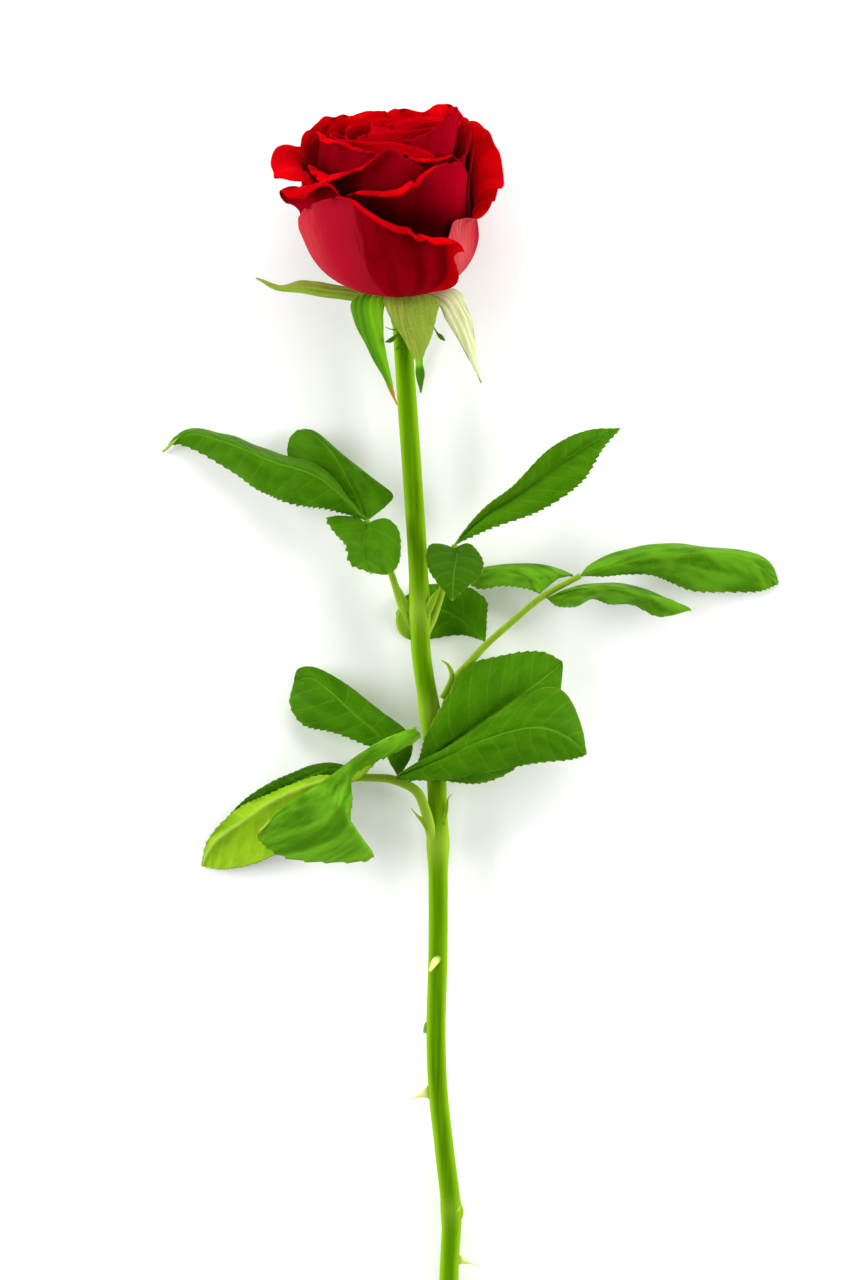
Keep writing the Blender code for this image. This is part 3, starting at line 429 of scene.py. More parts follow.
# Prickles: half height along the stem at the root, half thickness, how fast it narrows, how ripe it is,
# how far its tip reaches.
PRICKLE_LOOKS = {
    "prickle_left": (2.6, 0.9, 2.6, 1, 1),
    "prickle_stub": (3, 1.6, 1.3, 0.1, 0.55),
    "prickle_front": (1.15, 1.9, 0.6, 1, 1),
    "prickle_right": (1.9, 0.8, 2.2, 1, 1.05),
}

# Tones of the left and the right half: 0 deep green, 0.3 bright green, 0.6 olive, 1 whitish.
SEPAL_TONES = {
    "sepal_left": (0.43, 0.62),
    "sepal_front_left": (0.3, 0.09),
    "sepal_front": (0.5, 0.55),
    "sepal_right": (1, 0.9),
    "sepal_back": (0.2, 0.3),
}
# How much of its tone a sepal loses towards the tip.
SEPAL_TIP_GREEN = {"sepal_front": 0.93}

# Colours.
PETAL_DARK = (0.13, 0.0, 0.001)
PETAL_CRIMSON = (0.28, 0.0, 0.006)
# Pale pink of the outer flanks: partly the petal's own tone, partly painted sheen.
PETAL_PINK_AND_SHEEN = (0.54, 0.082, 0.085)
# Painted light on the right of the petals within.
PETAL_LIT = (0.31, 0.0, 0.009)
# Rose of the outer flanks: partly the petal's own tone, partly painted sheen.
PETAL_ROSE_AND_SHEEN = (0.38, 0.006, 0.02)
# Painted shade deep inside the bloom, on the petals' inner faces.
PETAL_INNER_SHADE = (0.10, 0.0, 0.0)
PETAL_CLEAR = (0.56, 0.0, 0.002)
PETAL_RUBY = (0.34, 0.0, 0.002)
PETAL_DRY = (0.06, 0.0, 0.0)
PETAL_HEART = (0.42, 0.0, 0.004)
# Near-black painted shade at the roots of the petals within.
PETAL_SHADE_BLACK = (0.012, 0.0, 0.0)
LEAF_DEEP = (0.020, 0.085, 0.0)
LEAF_DARK = (0.036, 0.138, 0.0)
LEAF_GREEN = (0.055, 0.19, 0.001)
LEAF_LIGHT = (0.17, 0.46, 0.015)
LEAF_VEIN = (0.135, 0.335, 0.012)
LEAF_UNDER = (0.19, 0.40, 0.006)
LEAF_UNDER_PALE = (0.29, 0.51, 0.008)
LEAF_UNDER_VEIN = (0.42, 0.60, 0.08)
LEAF_EDGE = (0.38, 0.45, 0.03)
LEAF_EDGE_RED = (0.22, 0.09, 0.02)
SEPAL_DEEP = (0.045, 0.16, 0.001)
SEPAL_GREEN = (0.17, 0.50, 0.003)
SEPAL_OLIVE = (0.14, 0.25, 0.005)
SEPAL_PALE = (0.86, 0.92, 0.60)
SEPAL_STRAW = (0.33, 0.36, 0.03)
SEPAL_FUZZ = (0.48, 0.50, 0.12)
SEPAL_EDGE = (0.07, 0.16, 0.004)
SEPAL_TIP = (0.50, 0.24, 0.02)
STEM_DARK = (0.045, 0.13, 0.0)
STEM_GREEN = (0.075, 0.20, 0.001)
STEM_LIGHT = (0.13, 0.30, 0.002)
# Painted light on the sides of the stem and stalks.
STEM_LIT_SIDE = (0.19, 0.37, 0.008)
STEM_FLECK = (0.32, 0.5, 0.05)
STEM_KNOT = (0.42, 0.58, 0.06)
HORN_STRAW = (0.70, 0.72, 0.22)
HORN_TIP = (0.30, 0.16, 0.05)
STAMEN_DARK = (0.45, 0.25, 0.03)
STAMEN_PALE = (0.8, 0.62, 0.2)
FLOOR_GREY = (0.93, 0.93, 0.93)
FLOOR_WHITE = (0.96, 0.96, 0.96)
SHEEN_ROUGHNESS = 0.4

# Studio: area lights (name, place, size, watts), then the light from all round.
LIGHTS = (
    ("left", (-1.5, 0.3, 0.55), 1.2, 34),
    ("right", (1.5, 0.2, 0.55), 1.2, 30),
    ("far", (0.1, 1.7, 0.9), 1.2, 24),
    ("near", (0, -1.6, 0.8), 1, 8),
)
ROOM_LIGHT = 0.38
LIGHT_AIM = (0, 0.05, 0.02)
FLOOR_HALF = 3.0
CAMERA_PLACE = (-SHIFT[0] * MM, 0.0412, 2.01)
CAMERA_LENS = 187.5


def unit(vector):
    """The vector at length 1."""
    return vector / np.maximum(np.linalg.norm(vector, axis=-1, keepdims=True), 1e-9)


def curve_at(points, t):
    """Points of the Catmull-Rom curve through points, which stand at equal steps of t from 0 to 1."""
    knots = np.asarray(points, float)
    ends = np.vstack((2 * knots[0] - knots[1], knots, 2 * knots[-1] - knots[-2]))
    x = np.clip(np.asarray(t, float), 0, 1) * (len(knots) - 1)
    i = np.minimum(x.astype(int), len(knots) - 2)
    f = (x - i)[..., None]
    a, b, c, d = (ends[i + k] for k in range(4))
    return b + 0.5 * f * (c - a + f * (2 * a - 5 * b + 4 * c - d + f * (3 * (b - c) + d - a)))


def value_at(values, t):
    """The same for single numbers."""
    return curve_at(np.asarray(values, float)[:, None], t)[..., 0]


def smooth(low, high, x):
    """0 below low, 1 above high, and an S between them."""
    t = np.clip((x - low) / (high - low), 0, 1)
    return t * t * (3 - 2 * t)


def waves(phase, *arguments):
    """A soft irregular wave between about -1 and 1: the mean of three sines, shifted by phase."""
    total = 0
    for k in range(3):
        turn = sum((0.7 + 0.45 * ((k + j) % 3)) * x for j, x in enumerate(arguments))
        total = total + np.sin(turn + 1.7 * phase + 2.1 * k)
    return total / 3


def grid(across, along, first=0.0, last=1.0):
    """u from -1 to 1 along the rows and v from first to last along the columns."""
    return np.meshgrid(np.linspace(-1, 1, across), np.linspace(first, last, along))


def face_normals(points):
    """Unit normals of a grid of points."""
    return unit(np.cross(np.gradient(points, axis=1), np.gradient(points, axis=0)))


def running(points, axis):
    """The distance run along one axis of a grid of points."""
    return np.cumsum(np.linalg.norm(np.gradient(points, axis=axis), axis=-1), axis=axis)


def bloom_axes():
    """Right, back and up of the bloom; back points to the table."""
    rise, lean = math.radians(BLOOM_RISE), math.radians(BLOOM_LEAN)
    up = np.array((-math.sin(lean) * math.cos(rise), math.cos(lean) * math.cos(rise), math.sin(rise)))
    right = unit(np.cross(up, (0.0, 0.0, 1.0)))
    return right, np.cross(up, right), up


def wall_angle(layer, s):
    """Angle between a petal and the bloom's axis at the length s: a bowl, then a wall that leans."""
    lean = 8 * layer**2 - 8 * (1 - layer) ** 2
    bend = 13 + 14 * layer
    start = 52 + 37 * layer
    curve = (start - lean) * np.maximum(1 - s / bend, 0) ** 0.85
    return lean + curve - 4 * layer * np.clip((s - bend) / 25, 0, 1.2)


def petal_rim(rows, growth, across, phase, detail):
    """Azimuth in radians, length, roll and length of the roll along a petal's rim.

    The corners are rounded off, a strong roll is lengthened, and waves and nicks make the rim ragged.
    """
    azimuth, length, roll, roll_length = curve_at(rows, (across + 1) / 2).T
    roll_length = np.maximum(roll_length, 1.0)
    turn = np.radians(azimuth)
    ragged = waves(phase, 9 * turn) + 0.6 * waves(phase + 3, 23 * turn)
    nick = np.maximum(waves(phase + 5, 14 * turn) - 0.7, 0)
    over = (0.4 + 0.25 * (growth < 1)) * smooth(30, 100, roll)
    length = length + over * roll_length - CORNER_ROUND * np.abs(across) ** 8
    length = length + detail * (RIM_WAVE * ragged - RIM_NICK * nick)
    roll = roll * (1 + ROLL_WAVE * detail * waves(phase + 1, 7 * turn))
    return turn, length, roll, roll_length


def curled(x, y, bend):
    """x and y of a sheet whose steps along each row are turned by bend; its middle column stays."""
    dx, dy = np.diff(x, axis=1), np.diff(y, axis=1)
    half = (bend[:, 1:] + bend[:, :-1]) / 2
    steps = (dx * np.cos(half) - dy * np.sin(half), dx * np.sin(half) + dy * np.cos(half))
    centre = slice(x.shape[1] // 2, x.shape[1] // 2 + 1)
    for start, step in zip((x, y), steps):
        total = np.concatenate((np.zeros((len(x), 1)), np.cumsum(step, axis=1)), axis=1)
        yield start[:, centre] + total - total[:, centre]


def petal(spec, u, v, phase, detail):
    """A petal: its angle to the axis is summed along its length, and the height and radius follow.

    The rim rolls out over its last millimetres, the right edge may curl out, and dents follow waves.
    """
    layer, change, curl, growth, rows = spec
    across = u[0]
    turn, length, roll, roll_length = petal_rim(rows, growth, across, phase, detail)
    layer = layer + change * across
    s = np.linspace(0, 1, WALL_STEPS + 1)[:, None] * length
    rolled = np.clip((s - length + roll_length) / roll_length, 0, 1) ** growth
    angle = np.radians(wall_angle(layer, s) + roll * rolled)
    step = length / WALL_STEPS
    radius = np.cumsum(np.sin(angle), axis=0) * step + SEAT_RADIUS + SEAT_WIDENING * layer
    height = np.cumsum(np.cos(angle), axis=0) * step + SEAT_HEIGHT - SEAT_DROP * layer
    at = np.minimum((v[:, 0] * WALL_STEPS).astype(int), WALL_STEPS - 1)
    part = (v[:, 0] * WALL_STEPS - at)[:, None]
    radius, height = (line[at] * (1 - part) + line[at + 1] * part for line in (radius, height))
    spread = ROOT_SPREAD + (1 - ROOT_SPREAD) * np.sin(np.minimum(v[:, :1] / 0.55, 1) * math.pi / 2)
    middle = (turn[0] + turn[-1]) / 2
    theta = middle + (turn - middle) * spread
    radius = radius * (1 - 0.05 * np.cos(theta))
    shift = (1 - layer) * (height / HEART_HEIGHT) ** 2
    sway = value_at(BOWL_SWAY, height / 60) * smooth(5, 12, radius)
    x = radius * np.cos(theta) + HEART_RIGHT * shift + sway
    y = radius * np.sin(theta) + HEART_BACK * shift
    bend = -np.radians(curl) * np.clip((across - 0.8) / 0.2, 0, 1) * smooth(0.2, 0.5, v[:, :1])
    x, y = curled(x, y, bend)
    right, back, up = bloom_axes()
    points = BLOOM_BASE + x[..., None] * right + y[..., None] * back + height[..., None] * up
    dents = waves(phase + 2, 5 * turn + 3 * v, 6 * v) * smooth(0.3, 0.8, v)
    deep = detail * (DENT + DENT * (growth < 1))
    return points + face_normals(points) * (deep * dents)[..., None]


def heart_petals():
    """The petals of the heart, from the outside in: as in PETALS."""
    for i in range(HEART_COUNT):
        middle = HEART_START + HEART_TURN * i
        half = HEART_HALF + HEART_GROWTH * i
        rows = []
        for k, (end, roll) in enumerate(zip(HEART_ENDS, HEART_ROLL)):
            azimuth = middle + half * (k - 2) / 2
            rim = HEART_TOP - HEART_DROP * i - end - HEART_FRONT * math.sin(math.radians(azimuth))
            rows.append((azimuth, rim, roll, 4.0 - 0.2 * i))
        yield HEART_LAYER - HEART_STEP * i, 0.015, 0, 1.2, rows


def blade(shape, bulge, u, v):
    """A leaf blade: each half runs straight from the middle line to its margin, plus a small arch.

    Returns the points, the distance along the middle line and the signed distance from it, in mm.
    """
    middle, left, right = shape
    base, tip = middle[0], middle[-1]
    line = curve_at(middle, v)
    left = curve_at((base,) + left + (tip,), v)
    right = curve_at((base,) + right + (tip,), v)
    out = np.abs(u)[..., None]
    side = np.where((u < 0)[..., None], left, right) - line
    ahead = curve_at(middle, v + 0.02) - curve_at(middle, v - 0.02)
    normal = unit(np.cross(right - left, ahead))
    width = np.linalg.norm(side, axis=-1, keepdims=True)
    points = line + side * out + normal * bulge * 0.5 * width * out * (1 - out)
    steps = np.linalg.norm(np.diff(line[:, 0], axis=0), axis=-1)
    along = np.concatenate(((0.0,), np.cumsum(steps)))[:, None] + 0 * u
    return points, along, width[..., 0] * u


def toothed(strengths, seed, u, v, along):
    """How far a leaflet's margin is moved out: saw teeth that lean to the tip and fade at both ends."""
    phase = (along / TOOTH_STEP + 0.4 * waves(seed + 6, 0.3 * along) + 0.4 * (u < 0)) % 1.0
    saw = phase**1.6 * (1 - smooth(0.86, 1.0, phase)) - 0.3
    size = TOOTH * np.where(u < 0, *strengths) * (0.75 + 0.25 * waves(seed + 8, 0.8 * along))
    ends = smooth(0.02, 0.1, v) * (1 - smooth(0.97, 1.0, v))
    return saw * size * ends * smooth(0.82, 1.0, np.abs(u))


def leaflet(shape, seed, u, v, strengths):
    """A leaflet: the blade with a toothed margin, raised between its side ribs and grooved at the middle.

    A side rib leaves the middle rib at about 55 degrees and bends towards the tip, so the rib a point
    lies on is its distance along the leaf less 0.7 times, and a little of the square of, the distance out.
    Returns the points, the number of the nearest rib and the distance from the middle rib.
    """
    points, along, across = blade(shape, LEAF_BULGE, u, v)
    away, out = np.abs(across), np.abs(u)
    rib = along - 0.7 * away - 0.012 * away**2 + 0.8 * waves(seed, 0.2 * along, 0.3 * across)
    rib = rib / RIB_STEP + 0.5 * (u < 0) + seed
    window = smooth(0.02, 0.16, out) * (1 - smooth(0.8, 1.0, out)) * smooth(0.0, 0.1, v)
    uneven = 0.6 + 0.4 * waves(seed + 2, along, 9 * u)
    rise = LEAF_QUILT * np.abs(np.sin(math.pi * rib)) ** 0.8 * window * uneven
    groove = LEAF_WAVE * np.exp(-((away / 0.7) ** 2)) * smooth(0.0, 0.06, v)
    wavy = LEAF_WAVE * waves(seed + 4, 0.35 * along, 3 * u) * smooth(0.3, 1.0, out)
    outwards = unit(np.gradient(points, axis=1)) * np.sign(u + 1e-9)[..., None]
    lean = outwards + 0.5 * unit(np.gradient(points, axis=0))
    reach = toothed(strengths, seed, u, v, along)[..., None]
    return points + face_normals(points) * (rise - groove + wavy)[..., None] + lean * reach, rib, away


def slab(points, thick, u, v, rib):
    """The closed solid of a sheet: the sheet moved half its thickness to each side, joined by an edge.

    It carries two marks for the materials: sheet is (u, v, 0 on the first face and 1 on the second), and
    rib is three values of the piece's own.
    """
    normal = face_normals(points)
    rows, columns = points.shape[:2]
    sides = np.concatenate((points + normal * thick / 2, points - normal * thick / 2))
    k = np.arange(rows * columns).reshape(rows, columns)
    under = rows * columns
    top = np.stack((k[:-1, :-1], k[:-1, 1:], k[1:, 1:], k[1:, :-1]), -1).reshape(-1, 4)
    loop = np.concatenate((k[0, :-1], k[:-1, -1], k[-1, :0:-1], k[:0:-1, 0]))
    after = np.roll(loop, -1)
    edge = np.stack((after, loop, loop + under, after + under), -1)
    sheet = np.concatenate([np.stack((u, v, np.full(u.shape, side)), -1) for side in (0.0, 1.0)])
    rib = np.stack(np.broadcast_arrays(*rib), -1).reshape(-1, 3)
    marks = {"sheet": sheet.reshape(-1, 3), "rib": np.tile(rib, (2, 1))}
    return sides.reshape(-1, 3), np.concatenate((top, top[:, ::-1] + under, edge)).tolist(), marks


def rings(path, wide, tall, sides, slant=0.0, knot=0.0):
    """A tube along path with half axes wide (sideways) and tall; slant leans its first end.

    Its mark rib is (distance round in mm, distance along in mm, knot), and sheet is (how far sideways).
    """
    path = np.asarray(path, float)
    ahead = unit(np.gradient(path, axis=0))
    right = unit(np.cross(ahead, (0.0, 0.0, 1.0)))
    top = np.cross(right, ahead)
    turn = np.arange(sides) / sides * 2 * math.pi
    wide, tall = (np.broadcast_to(size, len(path))[:, None, None] for size in (wide, tall))
    ring = path[:, None] + wide * np.cos(turn)[:, None] * right[:, None]
    ring = ring + tall * np.sin(turn)[:, None] * top[:, None]
    ring[0] += (slant * np.cos(turn))[:, None] * ahead[0]
    along = np.concatenate(((0.0,), np.cumsum(np.linalg.norm(np.diff(path, axis=0), axis=-1))))
    rib = np.broadcast_arrays(wide[..., 0] * turn, along[:, None], np.reshape(knot, (-1, 1)))
    points, faces, marks = tube(ring, np.stack(rib, -1))
    side = np.append(np.tile(np.cos(turn), len(path)), (0.0, 0.0))
    marks["sheet"] = np.stack((side, 0 * side, 0 * side), -1)
    return points, faces, marks


def tube(ring, rib):
    """The closed solid of rings of points, with a fan round a middle point at each end."""
    rows, sides = ring.shape[:2]
    k = np.arange(rows * sides).reshape(rows, sides)
    after = np.roll(k, -1, axis=1)
    quads = np.stack((k[:-1], k[1:], after[1:], after[:-1]), -1).reshape(-1, 4).tolist()
    first, last = rows * sides, rows * sides + 1
    fans = [(first, a, b) for a, b in zip(k[0], after[0])]
    fans += [(last, b, a) for a, b in zip(k[-1], after[-1])]
    points, rib = (
        np.concatenate((each.reshape(-1, 3), each[:1].mean(axis=1), each[-1:].mean(axis=1)))
        for each in (ring, rib)
    )
    return points, quads + fans, {"rib": rib}


def wisp(path, widths, tone=0.2):
    """A thin horn or hair: a flat tube along a curve, as wide as widths tell along it."""
    t = np.linspace(0, 1, 14)
    wide = np.maximum(value_at(widths, t), 0.05)
    return rings(curve_at(path, t), wide, 0.45 * wide + 0.03, 10, knot=tone)


def joined(shapes, name):
    """The shapes and the wisps of the named piece as one."""
    shapes = shapes + [wisp(*spec) for spec in WISPS.get(name, ())]
    points, faces, marks = zip(*shapes)
    starts = np.cumsum([0] + [len(part) for part in points]).tolist()
    faces = [[i + start for i in face] for start, part in zip(starts, faces) for face in part]
    marks = {mark: np.concatenate([each[mark] for each in marks]) for mark in ("sheet", "rib")}
    return np.concatenate(points), faces, marks


def turned_on_axis(profile, sides):
    """A solid turned about the bloom's axis from (height, radius) pairs."""
    right, back, up = bloom_axes()
    turn = np.arange(sides) / sides * 2 * math.pi
    height, radius = curve_at(profile, np.linspace(0, 1, 6 * len(profile))).T
    around = np.cos(turn)[:, None] * right + np.sin(turn)[:, None] * back
    ring = BLOOM_BASE + height[:, None, None] * up + radius[:, None, None] * around
    rib = np.stack(np.broadcast_arrays(radius[:, None] * turn, height[:, None], 0.3), -1)
    return tube(ring, rib)


def placed(name, data):
    """A new object in the scene."""
    made = bpy.data.objects.new(name, data)
    bpy.context.scene.collection.objects.link(made)
    return made


def piece(name, shape, look):
    """A piece of the flower from points in millimetres of the tables; its faces are turned outwards."""
    points, faces, marks = shape
    mesh = bpy.data.meshes.new(name)
    mesh.from_pydata(((points - SHIFT) * MM).tolist(), [], faces)
    mesh.update()
    mesh.calc_loop_triangles()
    corner = np.empty(len(mesh.loop_triangles) * 3, np.int32)
    mesh.loop_triangles.foreach_get("vertices", corner)
    a, b, c = np.moveaxis((points - points.mean(axis=0))[corner.reshape(-1, 3)], 1, 0)
    if (a * np.cross(b, c)).sum() < 0:
        mesh.flip_normals()
    mesh.shade_smooth()
    for mark, values in marks.items():
        mesh.attributes.new(mark, "FLOAT_VECTOR", "POINT").data.foreach_set("vector", values.ravel())
    mesh.materials.append(look)
    made = placed(name, mesh)
    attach(made, "root")
    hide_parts(name)


def put(tree, socket, value):
    """Feeds a socket from another socket, or sets its value."""
    if isinstance(value, bpy.types.NodeSocket):
        tree.links.new(value, socket)
    else:
        socket.default_value = (*value, 1.0) if socket.type == "RGBA" and len(value) == 3 else value


def node(tree, kind, inputs=(), **settings):
    """A node with its settings and its inputs, each a value or the socket that feeds it."""
    made = tree.nodes.new(kind)
    for name, value in settings.items():
        setattr(made, name, value)
    for name, value in dict(inputs).items():
        put(tree, made.inputs[name], value)
    return made


def calc(tree, operation, a, b=0.0, c=0.0):
    """A sum on one or two or three values."""
    return node(tree, "ShaderNodeMath", {0: a, 1: b, 2: c}, operation=operation).outputs[0]


def times(tree, a, b):
    """a times b."""
    return calc(tree, "MULTIPLY", a, b)


def sloped(tree, x, slope, start):
    """start plus slope times x."""
    return calc(tree, "MULTIPLY_ADD", x, slope, start)


def opposite(tree, x):
    """1 where x is 0, and 0 where it is 1."""
    return calc(tree, "SUBTRACT", 1.0, x)


def ramp(tree, low, high, x):
    """0 below low, 1 above high, and an S between them."""
    inputs = {"Value": x, "From Min": low, "From Max": high}
    return node(tree, "ShaderNodeMapRange", inputs, interpolation_type="SMOOTHSTEP").outputs["Result"]


def blend(tree, factor, a, b):
    """The colour a where factor is 0 and b where it is 1."""
    return node(tree, "ShaderNodeMix", {0: factor, 6: a, 7: b}, data_type="RGBA").outputs[2]


def parts(tree, vector):
    """The three parts of a vector."""
    return node(tree, "ShaderNodeSeparateXYZ", {0: vector}).outputs


def stretched(tree, place, scale):
    """A place with each part multiplied by the same part of scale."""
    return node(tree, "ShaderNodeVectorMath", {0: place, 1: scale}, operation="MULTIPLY").outputs[0]


def object_place(tree):
    """The place on the object, in metres."""
    return node(tree, "ShaderNodeTexCoord").outputs["Object"]


def group(name, inputs, outputs):
    """An empty node group with named sockets: its tree, its input node and its output node."""
    tree = bpy.data.node_groups.new(name, "ShaderNodeTree")
    for label, kind in inputs.items():
        tree.interface.new_socket(name=label, in_out="INPUT", socket_type=f"NodeSocket{kind}")
    for label in outputs:
        tree.interface.new_socket(name=label, in_out="OUTPUT", socket_type="NodeSocketFloat")
    return tree, tree.nodes.new("NodeGroupInput").outputs, tree.nodes.new("NodeGroupOutput").inputs


def use(tree, inner, **inputs):
    """The outputs of a node group placed in tree with its inputs."""
    made = tree.nodes.new("ShaderNodeGroup")
    made.node_tree = inner
    for name, value in inputs.items():
        put(tree, made.inputs[name], value)
    return made.outputs


def streaks_group():
    """Streaks: noise on a place in mm that is stretched by a scale on each axis."""
    inputs = {"Place": "Vector", "Across": "Float", "Along": "Float", "Third": "Float"}
    tree, given, result = group("streaks", inputs, ("Value",))
    scale = node(tree, "ShaderNodeCombineXYZ", {0: given["Across"], 1: given["Along"], 2: given["Third"]})
    place = stretched(tree, given["Place"], scale.outputs[0])
    noise = node(tree, "ShaderNodeTexNoise", {"Vector": place, "Scale": 1.0, "Detail": 3.0})
    put(tree, result["Value"], ramp(tree, 0.3, 0.7, noise.outputs[0]))
    return tree


def ribs_group():
    """Ribs of a leaf: Side from the fraction of the mark's rib number, Middle from the distance out,
    Net from the borders of small cells between them."""
    tree, given, result = group("ribs", {"Rib": "Vector", "Width": "Float"}, ("Side", "Middle", "Net"))
    rib = parts(tree, given["Rib"])
    near = times(tree, calc(tree, "PINGPONG", rib[0], 0.5), 4.4)
    put(tree, result["Side"], opposite(tree, ramp(tree, 0.05, given["Width"], near)))
    wide = times(tree, given["Width"], 1.6)
    put(tree, result["Middle"], opposite(tree, ramp(tree, 0.1, wide, rib[1])))
    place = stretched(tree, given["Rib"], (7.5, 1.3, 3.0))
    inputs = {"Vector": place, "Scale": 1.0}
    cells = node(tree, "ShaderNodeTexVoronoi", inputs, feature="DISTANCE_TO_EDGE").outputs[0]
    put(tree, result["Net"], opposite(tree, ramp(tree, 0.0, 0.12, cells)))
    return tree


def rim_group():
    """A band at the edge of a sheet, where Value runs up to 1, frayed by Fray."""
    tree, given, result = group("rim", {"Value": "Float", "Width": "Float", "Fray": "Float"}, ("Mask",))
    start = opposite(tree, times(tree, given["Width"], given["Fray"]))
    end = calc(tree, "ADD", start, times(tree, given["Width"], 0.6))
    put(tree, result["Mask"], ramp(tree, start, end, given["Value"]))
    return tree


STREAKS, RIBS, RIM = streaks_group(), ribs_group(), rim_group()


def streaks(tree, place, across, along, third):
    """The streaks group on a place, with its three scales."""
    return use(tree, STREAKS, Place=place, Across=across, Along=along, Third=third)["Value"]


def material(name, roughness, specular, sheen=0.0, sheen_tint=(1, 1, 1)):
    """A new material, its tree, its shader's inputs, the parts of the mark sheet, and the mark rib."""
    made = bpy.data.materials.new(name)
    made.use_nodes = True
    tree = made.node_tree
    shader = tree.nodes["Principled BSDF"].inputs
    shader["Roughness"].default_value = roughness
    shader["Specular IOR Level"].default_value = specular
    shader["Sheen Weight"].default_value = sheen
    shader["Sheen Roughness"].default_value = SHEEN_ROUGHNESS
    shader["Sheen Tint"].default_value = (*sheen_tint, 1.0)
    sheet, rib = (
        node(tree, "ShaderNodeAttribute", attribute_name=mark).outputs["Vector"]
        for mark in ("sheet", "rib")
    )
    return made, tree, shader, parts(tree, sheet), rib


def see_through(tree, share, color):
    """Mixes some light from behind into the surface."""
    light = node(tree, "ShaderNodeBsdfTranslucent", {"Color": color}).outputs[0]
    surface = tree.nodes["Principled BSDF"].outputs[0]
    mixed = node(tree, "ShaderNodeMixShader", {0: share, 1: surface, 2: light}).outputs[0]
    tree.links.new(mixed, tree.nodes["Material Output"].inputs["Surface"])


def bumped(tree, shader, height, distance):
    """Bumps as high as distance, in metres."""
    bump = node(tree, "ShaderNodeBump", {"Height": height, "Distance": distance, "Strength": 1.0})
    put(tree, shader["Normal"], bump.outputs[0])


def petal_outside(tree, u, v, number, fine, dark):
    """Outer face: crimson, with a rose and pale streaked left on the two outermost petals, partly their own
    tone and partly painted sheen.

    The petals within are crimson with painted light on their right, and near-black painted shade towards
    their covered roots.
    """
    flank = calc(tree, "LESS_THAN", number, FLANK_PETALS)
    second = calc(tree, "GREATER_THAN", number, FIRST_PETAL)
    inner = calc(tree, "GREATER_THAN", number, OUTER_PETALS)
    left = sloped(tree, fine, 0.06, times(tree, u, -1.0))
    # Rose and pale on the left flank of the outermost petals: partly their own tone, partly painted sheen.
    rose = times(tree, ramp(tree, 0.1, 0.2, left), flank)
    color = blend(tree, times(tree, rose, 0.85), dark, PETAL_ROSE_AND_SHEEN)
    pale = times(tree, ramp(tree, 0.45, 0.95, sloped(tree, second, 0.35, left)), flank)
    pale = times(tree, times(tree, pale, sloped(tree, second, 0.5, 0.5)), sloped(tree, fine, 0.6, 0.35))
    turned = calc(tree, "MAXIMUM", calc(tree, "SUBTRACT", ramp(tree, 0.78, 0.88, u), second), 0.0)
    outer = blend(tree, pale, blend(tree, turned, color, PETAL_CLEAR), PETAL_PINK_AND_SHEEN)
    # Painted light: the right side of the petals within is lighter, as if lit there.
    lit_right = times(tree, ramp(tree, -0.3, 0.6, u), sloped(tree, fine, 0.3, 0.5))
    heart = calc(tree, "GREATER_THAN", number, WALL_PETALS)
    within = blend(tree, heart, blend(tree, lit_right, dark, PETAL_LIT), PETAL_HEART)
    # Painted shade: near black towards the roots of the petals within, more on their left.
    painted_shade = opposite(tree, ramp(tree, 0.62, 0.99, sloped(tree, u, 0.2, v)))
    painted_shade = times(tree, painted_shade, times(tree, inner, 0.95))
    return blend(tree, painted_shade, blend(tree, inner, outer, within), PETAL_SHADE_BLACK)


def petal_look():
    """Velvet red: dark crimson outside with paler streaked flanks, partly painted sheen; clear red inside,
    darkening with painted shade deep in the bloom; dry dark tips.
    """
    made, tree, shader, sheet, rib = material("petal red", 0.62, 0.0, 0.2, (1.0, 0.03, 0.06))
    u, v, side = sheet
    fine = streaks(tree, rib, 1.9, 0.1, 7.0)
    broad = streaks(tree, rib, 0.14, 0.04, 5.0)
    dark = blend(tree, broad, PETAL_DARK, PETAL_CRIMSON)
    outside = petal_outside(tree, u, v, parts(tree, rib)[2], fine, dark)
    # Painted shade: the inner face darkens towards its root, deep in the bloom.
    out_of_shade = sloped(tree, fine, 0.15, ramp(tree, 0.6, 0.95, v))
    inside = blend(tree, out_of_shade, PETAL_INNER_SHADE, blend(tree, broad, PETAL_RUBY, PETAL_CLEAR))
    fray = ramp(tree, 0.8, 1.0, streaks(tree, rib, 0.2, 0.1, 3.0))
    dry = use(tree, RIM, Value=v, Width=0.035, Fray=fray)["Mask"]
    color = blend(tree, times(tree, dry, 0.75), blend(tree, side, outside, inside), PETAL_DRY)
    put(tree, shader["Base Color"], color)
    bumped(tree, shader, fine, 0.00006)
    see_through(tree, 0.07, (0.7, 0.005, 0.005))
    return made


